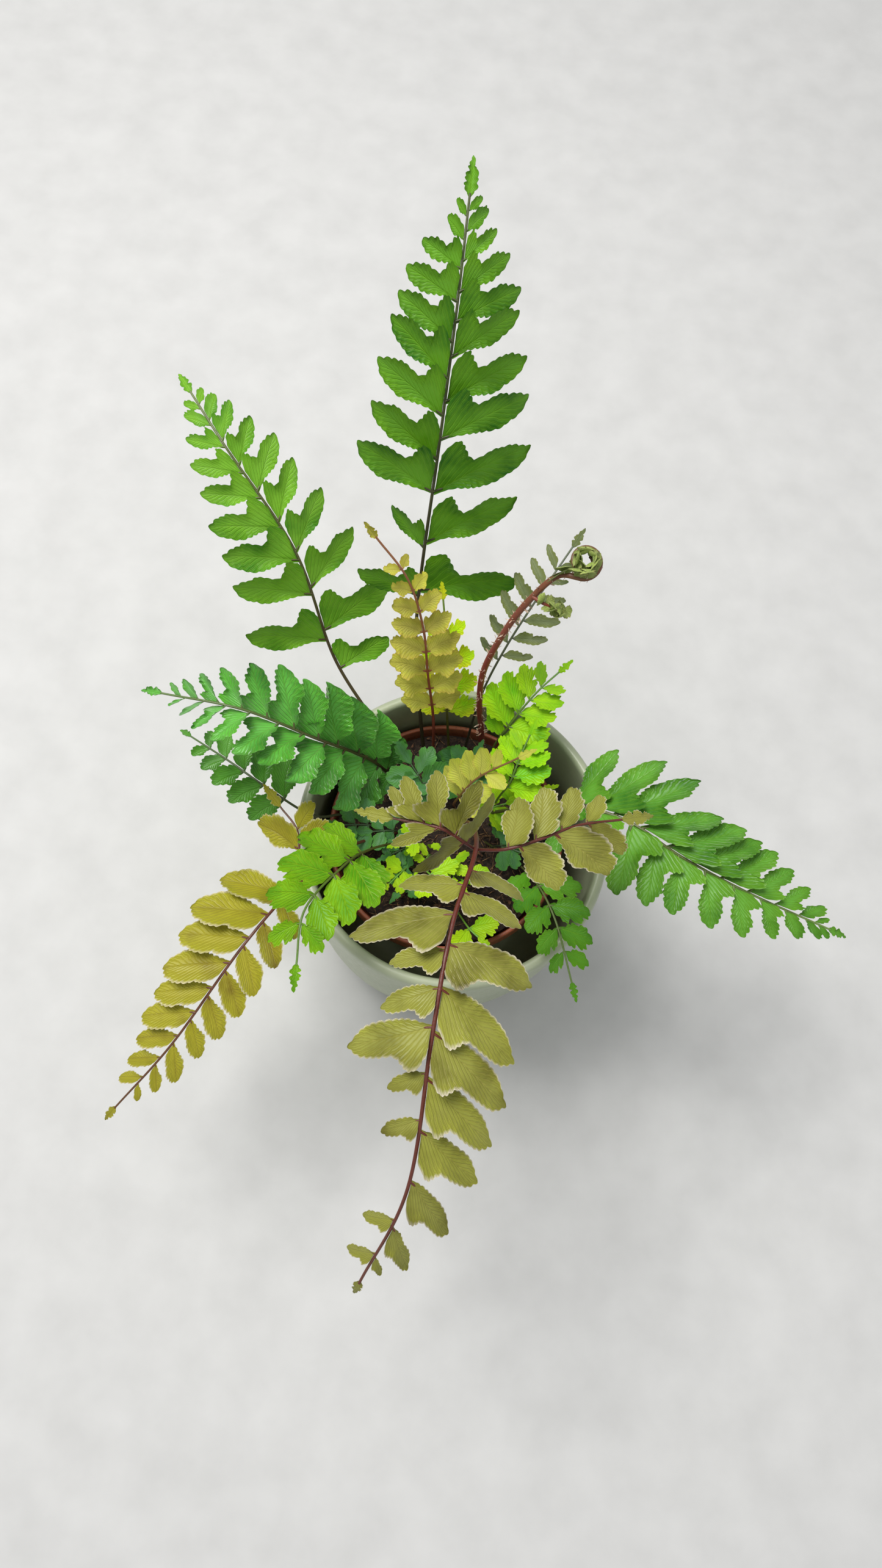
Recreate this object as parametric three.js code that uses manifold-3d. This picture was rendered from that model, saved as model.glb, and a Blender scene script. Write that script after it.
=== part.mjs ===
// Potted fern with once-cut fronds: a glazed outer pot, a thin grow pot with its soil, and the
// plant, one mesh for each frond. Millimetres, +Z up, the outer pot's foot on Z = 0, front at -Y.
import * as THREE from "three";
import { mergeVertices } from "three/addons/utils/BufferGeometryUtils.js";
import Module from "manifold-3d";

const wasm = await Module();
wasm.setup();

// Outer pot: near-upright wall with a soft rim, drawn in below to a smaller foot.
const RIM_RADIUS = 70;
const POT_HEIGHT = 120;
const FLOOR = 7;
const POT_SIDES = 38;

// Grow pot: thin tapered plastic with a thicker rim and drain holes. It stands a little off the
// middle, against the back, with its rim well below the outer one.
const GROW_PLACE = [-3, 6, 7.3];
const GROW_RIM_RADIUS = 54.9;
const GROW_BASE_RADIUS = 38;
const GROW_HEIGHT = 87.7;
const GROW_WALL = 1.5;
const GROW_SIDES = 32;
const DRAIN_RADIUS = 3.5;
const DRAIN_CIRCLE = 24;
const DRAINS = 6;

// Soil, and the plain holes that the stems stand in.
const SOIL_TOP = 90.5;
const SOIL_GAP = 0.3;
const SOIL_LUMP = 0.8;
const HOLE_GAP = 0.5;

// Leaflets are thin blades that grow out of the stem's edge by a short neck.
const BLADE = 0.62;
const NECK = 0.9;
const RING_STEP = 20;

// Outlines of a leaflet of length 1: first along its rib, then along the stem it grows from, with
// + towards the frond's tip. "near" is the cut-away side, "far" runs back over notch and ear.
const OUTLINES = {
  eared: {
    near: [[0.7, -0.2], [0.95, -0.11]],
    point: [1, 0.04],
    far: [[0.68, 0.25], [0.37, 0.26], [0.18, 0.54], [0.04, 0.5]],
    rib: [0.5, 0.04],
  },
  round: {
    near: [[0.62, -0.26]],
    point: [1, 0],
    far: [[0.8, 0.3], [0.4, 0.47], [0.04, 0.4]],
    rib: [0.5, 0.06],
  },
  sickle: {
    near: [[0.4, -0.14], [0.8, -0.08]],
    point: [1, 0.14],
    far: [[0.64, 0.27], [0.4, 0.28], [0.18, 0.5], [0.03, 0.42]],
    rib: [0.45, 0.06],
  },
  lobed: {
    near: [[0.4, -0.14], [0.74, -0.26], [0.97, -0.12]],
    point: [1, 0.08],
    far: [[0.78, 0.26], [0.42, 0.32], [0.05, 0.24]],
    rib: [0.5, 0.02],
  },
  fan: {
    near: [[0.5, -0.28], [0.9, -0.27]],
    point: [1, 0.04],
    far: [[0.84, 0.26], [0.54, 0.46], [0.1, 0.42]],
    rib: [0.44, 0],
  },
  narrow: {
    near: [[0.5, -0.14]],
    point: [1, 0],
    far: [[0.62, 0.18], [0.2, 0.28]],
    rib: [0.5, 0.02],
  },
};

// Every frond is one or more sprays. A spray has its midline, the way its upper face looks at the
// base and the tip, its stem radii, the share of the midline where leaflets start and end, how they
// close up towards the tip, the leaflets' lengths on the left and the right from base to tip (0 for
// none), the angle at which they leave the stem there, how far they rise out of the spray's plane,
// how far they hang, their twist, and the length of the end leaflet. "leaves" gives each leaflet's
// share, side, length and angle instead.
const FRONDS = {
  frond_tall: {
    colour: "#418a2f",
    sprays: [{
      line: [
        [-18, 43, 80], [-24, 56, 118], [-30, 76, 150], [-31, 91, 180], [-30, 118, 231], [-30, 149, 273],
        [-31, 175.5, 295],
      ],
      face: [[0.1, -0.8, 0.6], [0.15, -0.5, 0.85]],
      stem: [1.5, 0.7], outline: "eared",
      leaves: [
        [0.397, -1, 28, 70], [0.408, 1, 41, 82], [0.489, -1, 22, 44], [0.5, 1, 41, 55], [0.589, -1, 35, 60],
        [0.589, 1, 41, 57], [0.643, -1, 33, 55], [0.674, 1, 36, 60], [0.71, -1, 31, 57], [0.73, 1, 33, 54],
        [0.763, -1, 29, 52], [0.793, 1, 28, 54], [0.813, -1, 25, 56], [0.84, 1, 25, 60], [0.866, -1, 21, 64],
        [0.878, 1, 21, 52], [0.907, -1, 16, 64], [0.917, 1, 15, 46], [0.943, -1, 9, 48], [0.954, 1, 10, 46],
        [0.972, -1, 6, 44], [0.979, 1, 6, 44],
      ],
      rise: 3, hang: 0.08, twist: 12, tip: 12,
    }],
  },
  frond_upper_left: {
    colour: "#58a33a",
    sprays: [{
      line: [
        [-24, 34, 80], [-41, 43, 120], [-63, 61, 146], [-83, 87, 190], [-114, 113, 217], [-132, 133.5, 220],
      ],
      face: [[0.5, -0.7, 0.6], [0.1, -0.3, 0.95]],
      stem: [1.4, 0.7], outline: "eared",
      leaves: [
        [0.371, 1, 25, 86], [0.443, -1, 35, 64], [0.464, 1, 34, 74], [0.55, -1, 33, 62], [0.564, 1, 30, 54],
        [0.625, -1, 31, 64], [0.642, 1, 27, 50], [0.695, -1, 28, 57], [0.707, 1, 25, 50], [0.76, -1, 23, 55],
        [0.773, 1, 23, 53], [0.814, -1, 20, 51], [0.829, 1, 19, 51], [0.869, -1, 15, 47], [0.881, 1, 16, 45],
        [0.917, -1, 11, 42], [0.928, 1, 11, 42], [0.957, -1, 7, 40], [0.967, 1, 7, 40],
      ],
      rise: 4, hang: 0.1, twist: 12, tip: 10,
    }],
  },
  frond_left: {
    colour: "#357f35",
    sprays: [{
      line: [[-24, 28, 80], [-39, 26, 120], [-48, 23, 138], [-62, 17, 164], [-91, 17, 184], [-125, 20, 180]],
      face: [[0.8, -0.5, 0.5], [0, -0.1, 1]],
      stem: [1.3, 0.7], outline: "eared",
      leaves: [
        [0.17, -1, 15, 88], [0.19, 1, 20, 52], [0.25, -1, 21, 88], [0.273, 1, 32, 40], [0.333, -1, 29, 64],
        [0.367, 1, 36, 38], [0.443, -1, 31, 44], [0.482, 1, 34, 44], [0.538, -1, 28, 45], [0.567, 1, 28, 47],
        [0.619, -1, 25, 49], [0.647, 1, 27, 51], [0.692, -1, 23, 51], [0.723, 1, 23, 51], [0.769, -1, 19, 53],
        [0.787, 1, 18, 47], [0.828, -1, 16, 50], [0.847, 1, 14, 44], [0.884, -1, 11, 46], [0.9, 1, 10, 44],
        [0.935, -1, 7, 42], [0.947, 1, 7, 42],
      ],
      rise: 14, hang: 0.12, twist: -30, tip: 9,
    }],
  },
  frond_left_low: {
    colour: "#2f7340",
    sprays: [{
      line: [[-24, 19, 80], [-51, 1, 116], [-62, -5, 128], [-85, 3, 135], [-101, 11, 135], [-122, 22, 129]],
      face: [[0, 0, 1], [0, 0, 1]],
      stem: [1.2, 0.65], span: [0.52, 0.97], ease: 1.1, outline: "round",
      left: [0, 17, 16, 14, 11, 8],
      right: [0, 18, 17, 15, 12, 8],
      angle: [70, 55], rise: 8, hang: 0.1, twist: 15, tip: 7, ringStep: 8,
    }],
  },
  frond_bronze_left: {
    colour: "#9b9440",
    sprays: [
      {
        line: [
          [-20, 10, 80], [-47, -18, 126], [-63, -43, 144], [-76, -68, 150], [-99, -110, 134],
          [-120, -137, 114],
        ],
        face: [[0.4, 0.3, 0.8], [0.2, 0.2, 1]],
        stem: [1.3, 0.65], span: [0.473, 0.98], ease: 1, stagger: -0.3, outline: "lobed",
        left: [16, 18, 19, 18, 17, 15, 15, 11, 7],
        right: [26, 29, 26, 25, 22, 21, 17, 14, 11],
        angle: [62, 38], rise: 4, hang: 0.15, twist: 10, tip: 9,
      },
      {
        line: [[-60, -38, 141], [-62, -30, 144], [-65, -18, 147], [-74, -9, 147]],
        face: [[0, 0, 1], [0, 0, 1]],
        stem: [0.8, 0.65], span: [0.4, 0.95], ease: 1, stagger: 0.3, outline: "round",
        left: [20, 0], right: [15, 13, 0], angle: [60, 50], rise: 4, hang: 0.1, twist: 12, tip: 12,
      },
    ],
  },
  frond_lime_front: {
    colour: "#6dc01d",
    sprays: [{
      line: [[-14, 6, 80], [-35, -18, 134], [-43, -34, 160], [-53, -57, 174], [-52, -77, 173]],
      face: [[0.7, 0.6, 0.5], [0, 0, 1]],
      stem: [1.1, 0.65], span: [0.5, 0.97], ease: 1.1, outline: "fan",
      left: [20, 24, 22, 18, 13], right: [20, 24, 22, 18, 13],
      angle: [62, 50], rise: 4, hang: 0.08, twist: -25, tip: 10,
    }],
  },
  frond_bronze_front: {
    colour: "#979140",
    sprays: [
      {
        line: [
          [-5, 12, 80], [5, -14, 180], [7, -32, 208], [2, -64, 224], [1, -100, 222], [1, -148, 200],
          [-10, -182, 165],
        ],
        face: [[0, 0.9, 0.4], [0, 0, 1]],
        stem: [1.7, 0.7], outline: "sickle",
        leaves: [
          [0.475, -1, 20, 90], [0.5, 1, 22, 90], [0.51, -1, 22, 86], [0.54, 1, 34, 72], [0.575, -1, 30, 84],
          [0.582, 1, 18, 74], [0.622, -1, 32, 62], [0.622, 1, 19, 68], [0.668, -1, 32, 58],
          [0.662, 1, 28, 74], [0.716, -1, 30, 53], [0.71, 1, 13, 66], [0.772, -1, 26, 56],
          [0.76, 1, 13, 66], [0.83, -1, 24, 46], [0.885, 1, 12, 58], [0.895, -1, 20, 34],
          [0.945, 1, 12, 50], [0.95, -1, 9, 34],
        ],
        rise: -4, hang: 0.2, twist: 13, tip: 9,
      },
      {
        line: [[7, -31, 206], [0, -30, 213], [-6, -28, 215], [-24, -26, 212]],
        face: [[0, -0.2, 1], [0, -0.2, 1]],
        stem: [0.9, 0.65], outline: "eared",
        leaves: [
          [0.16, 1, 20, 84], [0.2, -1, 24, 46], [0.33, 1, 21, 76], [0.5, 1, 20, 66], [0.52, -1, 17, 40],
          [0.67, 1, 18, 57], [0.82, 1, 14, 50],
        ],
        rise: 8, hang: 0.05, twist: 20, tip: 14,
      },
      {
        line: [[7, -31, 206], [17, -32, 216], [28, -27, 217], [41, -19, 215], [58, -12, 209]],
        face: [[0, -0.2, 1], [0, -0.2, 1]],
        stem: [0.9, 0.65], span: [0.25, 0.92], ease: 1, stagger: 0.3, outline: "round",
        left: [18, 19, 16, 12], right: [20, 24, 17], angle: [66, 45], rise: 4, hang: 0.08, twist: 10, tip: 14,
      },
    ],
  },
  frond_right: {
    colour: "#3d8a38",
    sprays: [{
      line: [
        [2, 20, 80], [22, 9, 136], [36, 8, 158], [65, 0, 174], [88, -12, 176], [116, -21, 172],
        [154, -28, 161],
      ],
      face: [[-0.6, 0, 0.7], [0.1, -0.1, 1]],
      stem: [1.5, 0.65], outline: "eared",
      leaves: [
        [0.44, 1, 24, 86], [0.453, -1, 28, 64], [0.495, -1, 34, 50], [0.509, 1, 24, 80], [0.54, -1, 35, 43],
        [0.575, 1, 29, 74], [0.594, -1, 31, 44], [0.626, 1, 26, 66], [0.652, -1, 31, 49], [0.676, 1, 23, 66],
        [0.706, -1, 28, 47], [0.73, 1, 22, 60], [0.763, -1, 25, 50], [0.789, 1, 20, 56], [0.819, -1, 21, 48],
        [0.846, 1, 16, 50], [0.877, -1, 17, 44], [0.9, 1, 12, 44], [0.93, -1, 12, 40], [0.946, 1, 9, 38],
        [0.966, -1, 6, 38], [0.975, 1, 6, 38],
      ],
      rise: 8, hang: 0.12, twist: 12, tip: 9,
    }],
  },
  frond_right_low: {
    colour: "#3f9038",
    sprays: [{
      line: [[8, 13, 80], [31, -8, 112], [40, -20, 125], [48, -35, 131], [58, -60, 130]],
      face: [[0, 0, 1], [0, 0, 1]],
      stem: [1, 0.65], span: [0.48, 0.96], ease: 1.1, outline: "fan",
      left: [16, 18, 17, 15, 11], right: [15, 16, 15, 13, 10],
      angle: [66, 50], rise: 5, hang: 0.1, twist: -12, tip: 8,
    }],
  },
  frond_bronze_upright: {
    colour: "#c4a94a",
    sprays: [{
      line: [[-14, 39, 80], [-17, 49, 126], [-22, 56, 160], [-26, 63, 187], [-34, 69, 214], [-47, 73, 234]],
      face: [[0, -0.8, 0.6], [0.2, -0.6, 0.8]],
      stem: [1.2, 0.65], span: [0.36, 0.96], ease: 1, outline: "round",
      ringStep: 10, left: [14, 16, 17, 16, 14, 12, 9, 7], right: [14, 16, 17, 16, 14, 12, 9, 6],
      angle: [66, 50], rise: 4, hang: 0.05, twist: -35, tip: 8,
    }],
  },
  frond_lime_upright: {
    colour: "#a8c92c",
    sprays: [{
      line: [[-6, 44, 80], [-13, 58, 138], [-16, 68, 167], [-20, 78, 186]],
      face: [[0, -0.8, 0.6], [0, -0.6, 0.8]],
      stem: [1.1, 0.65], span: [0.42, 0.95], ease: 1.1, outline: "fan",
      left: [13, 14, 13, 10], right: [14, 15, 13, 10],
      angle: [66, 50], rise: 4, hang: 0.05, twist: -35, tip: 8,
    }],
  },
  frond_lime_right: {
    colour: "#78cf1c",
    sprays: [{
      line: [[12, 35, 80], [12, 42, 122], [16, 45, 140], [21, 52, 148], [27, 60, 153], [34, 68, 156]],
      face: [[-0.5, -0.7, 0.5], [0, -0.2, 1]],
      stem: [1, 0.65], span: [0.57, 0.96], ease: 1.1, outline: "fan",
      left: [11, 20, 18, 15, 11], right: [18, 19, 16, 14, 10],
      angle: [64, 50], rise: 5, hang: 0.08, twist: -36, tip: 8,
    }],
  },
  frond_lime_low: {
    colour: "#6cc71f",
    sprays: [{
      line: [[18, 28, 80], [16, 16, 116], [17, 15, 134], [20, 18, 146], [22, 26, 152], [25, 37, 156]],
      face: [[0, -0.9, 0.3], [0, -0.3, 1]],
      stem: [1, 0.65], span: [0.72, 0.97], ease: 1.1, outline: "fan",
      left: [13, 14, 13, 10], right: [16, 16, 14, 11],
      angle: [64, 50], rise: 5, hang: 0.08, twist: -38, tip: 8,
    }],
  },
  frond_bronze_small: {
    colour: "#bfae48",
    sprays: [{
      line: [[-1, 24, 80], [-1, 9, 140], [6, 12, 163], [20, 17, 179]],
      face: [[-0.5, -0.7, 0.5], [-0.3, -0.3, 1]],
      stem: [1, 0.65], span: [0.6, 0.95], ease: 1, outline: "round",
      left: [15, 15, 14, 12, 8], right: [13, 13, 11],
      angle: [64, 50], rise: 4, hang: 0.05, twist: -40, tip: 9,
    }],
  },
  frond_grey_back: {
    colour: "#5c7a50",
    sprays: [{
      line: [[-1, 48, 80], [3, 58, 148], [9, 68, 172], [16, 79, 188], [29, 104, 199]],
      face: [[0, -0.5, 0.85], [0, -0.3, 1]],
      stem: [1, 0.65], span: [0.6, 0.97], ease: 1.1, stagger: 0.3, outline: "narrow",
      left: [12, 14, 16, 15, 13, 11], right: [13, 15, 15, 12, 8, 6],
      angle: [64, 52], rise: 4, hang: 0.1, twist: -5, tip: 9,
    }],
  },
  frond_dark_low: {
    colour: "#2f6b4a",
    sprays: [{
      line: [[-6, 33, 80], [-1, 30, 104], [2, 31, 115], [4, 35, 123]],
      face: [[0, -0.9, 0.3], [0, -0.3, 1]],
      stem: [0.9, 0.65], span: [0.6, 0.95], ease: 1, outline: "round",
      left: [19, 18, 14], right: [14, 13, 10],
      angle: [66, 52], rise: 4, hang: 0.05, twist: -45, tip: 11,
    }],
  },
  sprig_left: {
    colour: "#8fdc3a",
    sprays: [{
      line: [[-10, 0, 80], [-12, -10, 100], [-8, -19, 114], [-2, -22, 118]],
      face: [[0, 0.9, 0.3], [0, 0, 1]],
      stem: [0.8, 0.65], span: [0.86, 0.95], ease: 1, outline: "fan",
      left: [13], right: [13], angle: [66, 52], rise: 5, hang: 0.05, twist: -30, tip: 9,
    }],
  },
  sprig_middle: {
    colour: "#8fdc3a",
    sprays: [{
      line: [[-2, -8, 80], [3, -14, 100], [8, -20, 114], [11, -21, 118]],
      face: [[0, 0.9, 0.3], [0, 0, 1]],
      stem: [0.8, 0.65], span: [0.86, 0.95], ease: 1, outline: "fan",
      left: [12], right: [13], angle: [66, 52], rise: 5, hang: 0.05, twist: -40, tip: 9,
    }],
  },
  sprig_front: {
    colour: "#8fdc3a",
    sprays: [{
      line: [[4, -22, 80], [9, -32, 97], [14, -39, 104], [18, -42, 105]],
      face: [[0, 0.9, 0.3], [0, 0, 1]],
      stem: [0.8, 0.65], span: [0.84, 0.95], ease: 1, outline: "fan",
      left: [13], right: [13], angle: [66, 52], rise: 5, hang: 0.05, twist: -30, tip: 9,
    }],
  },
  sprig_teal: {
    colour: "#3f8f6a",
    sprays: [{
      line: [[20, 12, 80], [23, 7, 96], [25, 4, 108], [26, 8, 115]],
      face: [[-0.5, -0.7, 0.3], [0, -0.3, 1]],
      stem: [0.8, 0.65], span: [0.6, 0.95], ease: 1, outline: "fan",
      left: [12, 10], right: [12, 10], angle: [66, 52], rise: 5, hang: 0.05, twist: -45, tip: 7,
    }],
  },
};

// Coiled young frond: its scaly stalk, the flat coil at its top, and the buds along both.
const CROZIER = {
  stalk: [[8, 45, 80], [6, 48, 118], [2, 50, 150], [1, 53, 176], [5, 57, 200], [12, 63, 220], [22, 69, 234]],
  centre: [30, 74, 238],
  across: [1, 0, 0],
  upward: [0, 0.94, 0.33],
  turns: [-1.9, 7.2],
  coil: [6.6, 2.6],
  radius: [1.3, 1.2],
  colour: "#8a5a3a",
};

const rad = THREE.MathUtils.degToRad;
const lerp = THREE.MathUtils.lerp;
const vec = (p) => new THREE.Vector3(...p);

// The value at share t of an evenly spaced list.
const along = (list, t) => {
  const at = t * (list.length - 1);
  const low = Math.max(0, Math.min(Math.floor(at), list.length - 2));
  return lerp(list[low], list[low + 1], at - low);
};

// A three.js geometry as a closed solid, its shared vertices merged.
const solidOf = (geometry) => {
  geometry.deleteAttribute("normal");
  geometry.deleteAttribute("uv");
  const closed = mergeVertices(geometry, 1e-4);
  const corners = closed.index.array;
  const kept = [];
  for (let i = 0; i < corners.length; i += 3) {
    const [a, b, c] = corners.slice(i, i + 3);
    if (a !== b && b !== c && c !== a) {
      kept.push(a, b, c);
    }
  }
  return new wasm.Manifold(new wasm.Mesh({
    numProp: 3,
    vertProperties: new Float32Array(closed.attributes.position.array),
    triVerts: new Uint32Array(kept),
  }));
};

// A solid as a named mesh with its colour and finish.
const meshOf = (solid, name, colour, roughness) => {
  const { vertProperties, triVerts } = solid.getMesh();
  const geometry = new THREE.BufferGeometry();
  geometry.setAttribute("position", new THREE.BufferAttribute(vertProperties, 3));
  geometry.setIndex(new THREE.BufferAttribute(triVerts, 1));
  geometry.computeVertexNormals();
  const material = new THREE.MeshStandardMaterial({ color: colour, roughness, metalness: 0 });
  const mesh = new THREE.Mesh(geometry, material);
  mesh.name = name;
  return mesh;
};

// The leaflets of a spray, each with its share of the midline, side, length and angle.
const leavesOf = (spray) => {
  if (spray.leaves) {
    return spray.leaves.map(([t, side, length, angle]) => ({ t, side, length, angle }));
  }
  return [["left", -1, 0], ["right", 1, spray.stagger ?? 0]].flatMap(([key, side, shift]) => (
    spray[key].map((length, k) => {
      const share = (k + shift) / spray[key].length;
      const t = lerp(spray.span[0], spray.span[1], 1 - (1 - share) ** spray.ease);
      return { t, side, length, angle: along(spray.angle, share) };
    })
  )).filter((leaf) => leaf.length);
};

// The local axes of a spray at share t: along it, across to its right, out of its upper face.
const axesAt = (curve, face, t) => {
  const tangent = curve.getTangentAt(t);
  const look = vec(face[0]).lerp(vec(face[1]), t);
  const right = tangent.clone().cross(look).normalize();
  return { origin: curve.getPointAt(t), tangent, right, up: right.clone().cross(tangent) };
};

// One spray as a closed skin: a six-sided stem whose left and right edges are as high as a blade
// is thick, so that each leaflet grows out of the stem's edge between two rings.
const spraySolid = (spray) => {
  const curve = new THREE.CatmullRomCurve3(spray.line.map(vec));
  const total = curve.getLength();
  const neck = NECK / 2 / total;
  const leaves = leavesOf(spray);
  const stops = new Set([0, 0.995]);
  leaves.forEach((leaf) => {
    stops.add(leaf.t - neck);
    stops.add(leaf.t + neck);
  });
  const rings = [...stops].sort((a, b) => a - b).flatMap((t, k, all) => {
    const gap = k + 1 < all.length ? all[k + 1] - t : 0;
    const parts = Math.max(1, Math.round((gap * total) / (spray.ringStep ?? RING_STEP)));
    return Array.from({ length: parts }, (_, i) => t + (gap * i) / parts);
  });

  const points = [];
  const faces = [];
  const add = (p) => points.push(p) - 1;
  const quad = (a, b, c, d) => faces.push([a, b, c], [a, c, d]);
  // Ring corners: right upper, top, left upper, left lower, bottom, right lower.
  const corners = rings.map((t) => {
    const { origin, right, up } = axesAt(curve, spray.face, t);
    const radius = lerp(spray.stem[0], spray.stem[1], t);
    const edge = 0.85 * radius;
    const half = BLADE / 2;
    return [[edge, half], [0, radius], [-edge, half], [-edge, -half], [0, -radius], [edge, -half]]
      .map(([x, y]) => add(origin.clone().addScaledVector(right, x).addScaledVector(up, y)));
  });
  const starts = new Map(leaves.map((leaf) => [`${leaf.side} ${rings.indexOf(leaf.t - neck)}`, leaf]));

  // A blade from its border on the upper and the lower face, both split into the same triangles.
  const blade = (flat, border, halves, upper, lower, turned) => {
    halves.forEach((loop) => {
      const contour = loop.map((k) => new THREE.Vector2(...flat[k]));
      THREE.ShapeUtils.triangulateShape(contour, []).forEach((corner) => {
        const [a, b, c] = corner.map((k) => loop[k]);
        faces.push(turned ? [upper[c], upper[b], upper[a]] : [upper[a], upper[b], upper[c]]);
        faces.push(turned ? [lower[a], lower[b], lower[c]] : [lower[c], lower[b], lower[a]]);
      });
    });
    border.slice(1).forEach((next, i) => {
      const k = border[i];
      if (turned) {
        quad(upper[k], upper[next], lower[next], lower[k]);
      } else {
        quad(lower[k], lower[next], upper[next], upper[k]);
      }
    });
  };

  const leaflet = (leaf, [upperStart, upperEnd, lowerStart, lowerEnd]) => {
    const { origin, tangent, right, up } = axesAt(curve, spray.face, leaf.t);
    const shape = OUTLINES[spray.outline];
    const away = right.clone().multiplyScalar(leaf.side);
    const lean = rad(leaf.angle);
    const rise = rad(spray.rise);
    const tilt = rad(spray.twist);
    const out = tangent.clone().multiplyScalar(Math.cos(lean) * Math.cos(rise))
      .addScaledVector(away, Math.sin(lean) * Math.cos(rise))
      .addScaledVector(up, Math.sin(rise));
    const side = tangent.clone().multiplyScalar(Math.cos(tilt)).addScaledVector(up, Math.sin(tilt));
    origin.addScaledVector(away, 0.85 * lerp(spray.stem[0], spray.stem[1], leaf.t));
    const flat = [[0, -0.03], ...shape.near, shape.point, ...shape.far, [0, 0.03], shape.rib];
    const place = ([u, v], lift) => add(origin.clone()
      .addScaledVector(out, u * leaf.length)
      .addScaledVector(side, v * leaf.length)
      .addScaledVector(up, lift - spray.hang * leaf.length * (u * u + v * v / 3)));
    const last = flat.length - 2;
    const upper = flat.map((p, k) => [upperStart, upperEnd][[0, last].indexOf(k)] ?? place(p, BLADE / 2));
    const lower = flat.map((p, k) => [lowerStart, lowerEnd][[0, last].indexOf(k)] ?? place(p, -BLADE / 2));
    const border = [...flat.keys()].slice(0, last + 1);
    const tip = shape.near.length + 1;
    const halves = [[...border.slice(0, tip + 1), last + 1], [...border.slice(tip), 0, last + 1]];
    blade(flat, border, halves, upper, lower, leaf.side < 0);
  };

  corners.slice(1).forEach((b, k) => {
    const a = corners[k];
    for (let i = 0; i < 6; i += 1) {
      const j = (i + 1) % 6;
      const side = { 5: 1, 2: -1 }[i];
      const leaf = side && starts.get(`${side} ${k}`);
      if (leaf) {
        leaflet(leaf, side > 0 ? [a[0], b[0], a[5], b[5]] : [a[2], b[2], a[3], b[3]]);
      } else {
        quad(a[i], b[i], b[j], a[j]);
      }
    }
  });
  const foot = corners[0];
  faces.push([foot[0], foot[1], foot[2]], [foot[0], foot[2], foot[3]]);
  faces.push([foot[0], foot[3], foot[5]], [foot[3], foot[4], foot[5]]);

  // The end leaflet closes the stem.
  const end = corners.at(-1);
  const { origin, tangent, right, up } = axesAt(curve, spray.face, 0.995);
  const flat = [
    [0, -0.05], [0.4, -0.24], [0.75, -0.14], [1, 0], [0.7, 0.17], [0.35, 0.24], [0, 0.05], [-0.05, 0],
  ];
  const place = ([u, v], lift) => add(origin.clone()
    .addScaledVector(tangent, u * spray.tip)
    .addScaledVector(right, -v * spray.tip)
    .addScaledVector(up, lift - spray.hang * spray.tip * u * u));
  const fixed = { 0: [end[0], end[5]], 6: [end[2], end[3]], 7: [end[1], end[4]] };
  const upper = flat.map((p, k) => (fixed[k] ? fixed[k][0] : place(p, BLADE / 2)));
  const lower = flat.map((p, k) => (fixed[k] ? fixed[k][1] : place(p, -BLADE / 2)));
  blade(flat, [0, 1, 2, 3, 4, 5, 6], [[0, 1, 2, 3, 4, 5, 6, 7]], upper, lower, false);
  return solidOf(new THREE.BufferGeometry().setFromPoints(faces.flat().map((k) => points[k])));
};

// A closed tube through rings of six corners, in the frame of a spray that follows the curve.
const tubeSolid = (curve, face, stops, radiusAt) => {
  const rings = stops.map((t) => {
    const { origin, right, up } = axesAt(curve, face, t);
    return Array.from({ length: 6 }, (_, i) => origin.clone()
      .addScaledVector(right, radiusAt(t) * Math.cos(rad(60 * i + 30)))
      .addScaledVector(up, radiusAt(t) * Math.sin(rad(60 * i + 30))));
  });
  const faces = [];
  rings.slice(1).forEach((b, k) => {
    const a = rings[k];
    for (let i = 0; i < 6; i += 1) {
      const j = (i + 1) % 6;
      faces.push([a[i], b[i], b[j]], [a[i], b[j], a[j]]);
    }
  });
  const foot = rings[0];
  const top = rings.at(-1);
  [1, 2, 3, 4].forEach((i) => {
    faces.push([foot[0], foot[i], foot[i + 1]], [top[0], top[i + 1], top[i]]);
  });
  return solidOf(new THREE.BufferGeometry().setFromPoints(faces.flat()));
};

// A profile of radius and height turned round the upright axis.
const turned = (profile, sides) => {
  const shape = new THREE.LatheGeometry(profile.map(([r, z]) => new THREE.Vector2(r, z)), sides);
  return shape.rotateX(Math.PI / 2);
};

// Outer pot: wall and floor in one, flat underneath.
const outerPot = () => solidOf(turned([
  [0, 0], [47.2, 0], [48.6, 0.8], [57, 6], [63, 16], [66.5, 32], [68.6, 60], [69.6, 95], [RIM_RADIUS, 114],
  [69.6, 118.6], [68, POT_HEIGHT], [66.2, POT_HEIGHT], [64.9, 118.6], [64.4, 108], [62.8, 60], [60.6, 34],
  [56.5, 19], [51, 11], [46, FLOOR], [0, FLOOR],
], POT_SIDES));

// Grow pot, with its thicker rim and the holes in its floor.
const growPot = () => {
  const wall = GROW_WALL;
  const shoulder = GROW_HEIGHT - 11.7;
  const body = solidOf(turned([
    [0, 0], [GROW_BASE_RADIUS, 0], [51.6, shoulder], [54.4, shoulder + 0.6],
    [GROW_RIM_RADIUS, shoulder + 1.5], [GROW_RIM_RADIUS, GROW_HEIGHT - 0.8], [54.3, GROW_HEIGHT],
    [53.4, GROW_HEIGHT], [52.8, GROW_HEIGHT - 0.8],
    [50, shoulder - 1], [GROW_BASE_RADIUS - wall, wall], [0, wall],
  ], GROW_SIDES));
  const drains = Array.from({ length: DRAINS }, (_, k) => {
    const turn = (2 * Math.PI * k) / DRAINS;
    const hole = new THREE.CylinderGeometry(DRAIN_RADIUS, DRAIN_RADIUS, 6, 10).rotateX(Math.PI / 2);
    return solidOf(hole.translate(DRAIN_CIRCLE * Math.cos(turn), DRAIN_CIRCLE * Math.sin(turn), 0));
  });
  return drains.reduce((pot, hole) => pot.subtract(hole), body).translate(GROW_PLACE);
};

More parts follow.
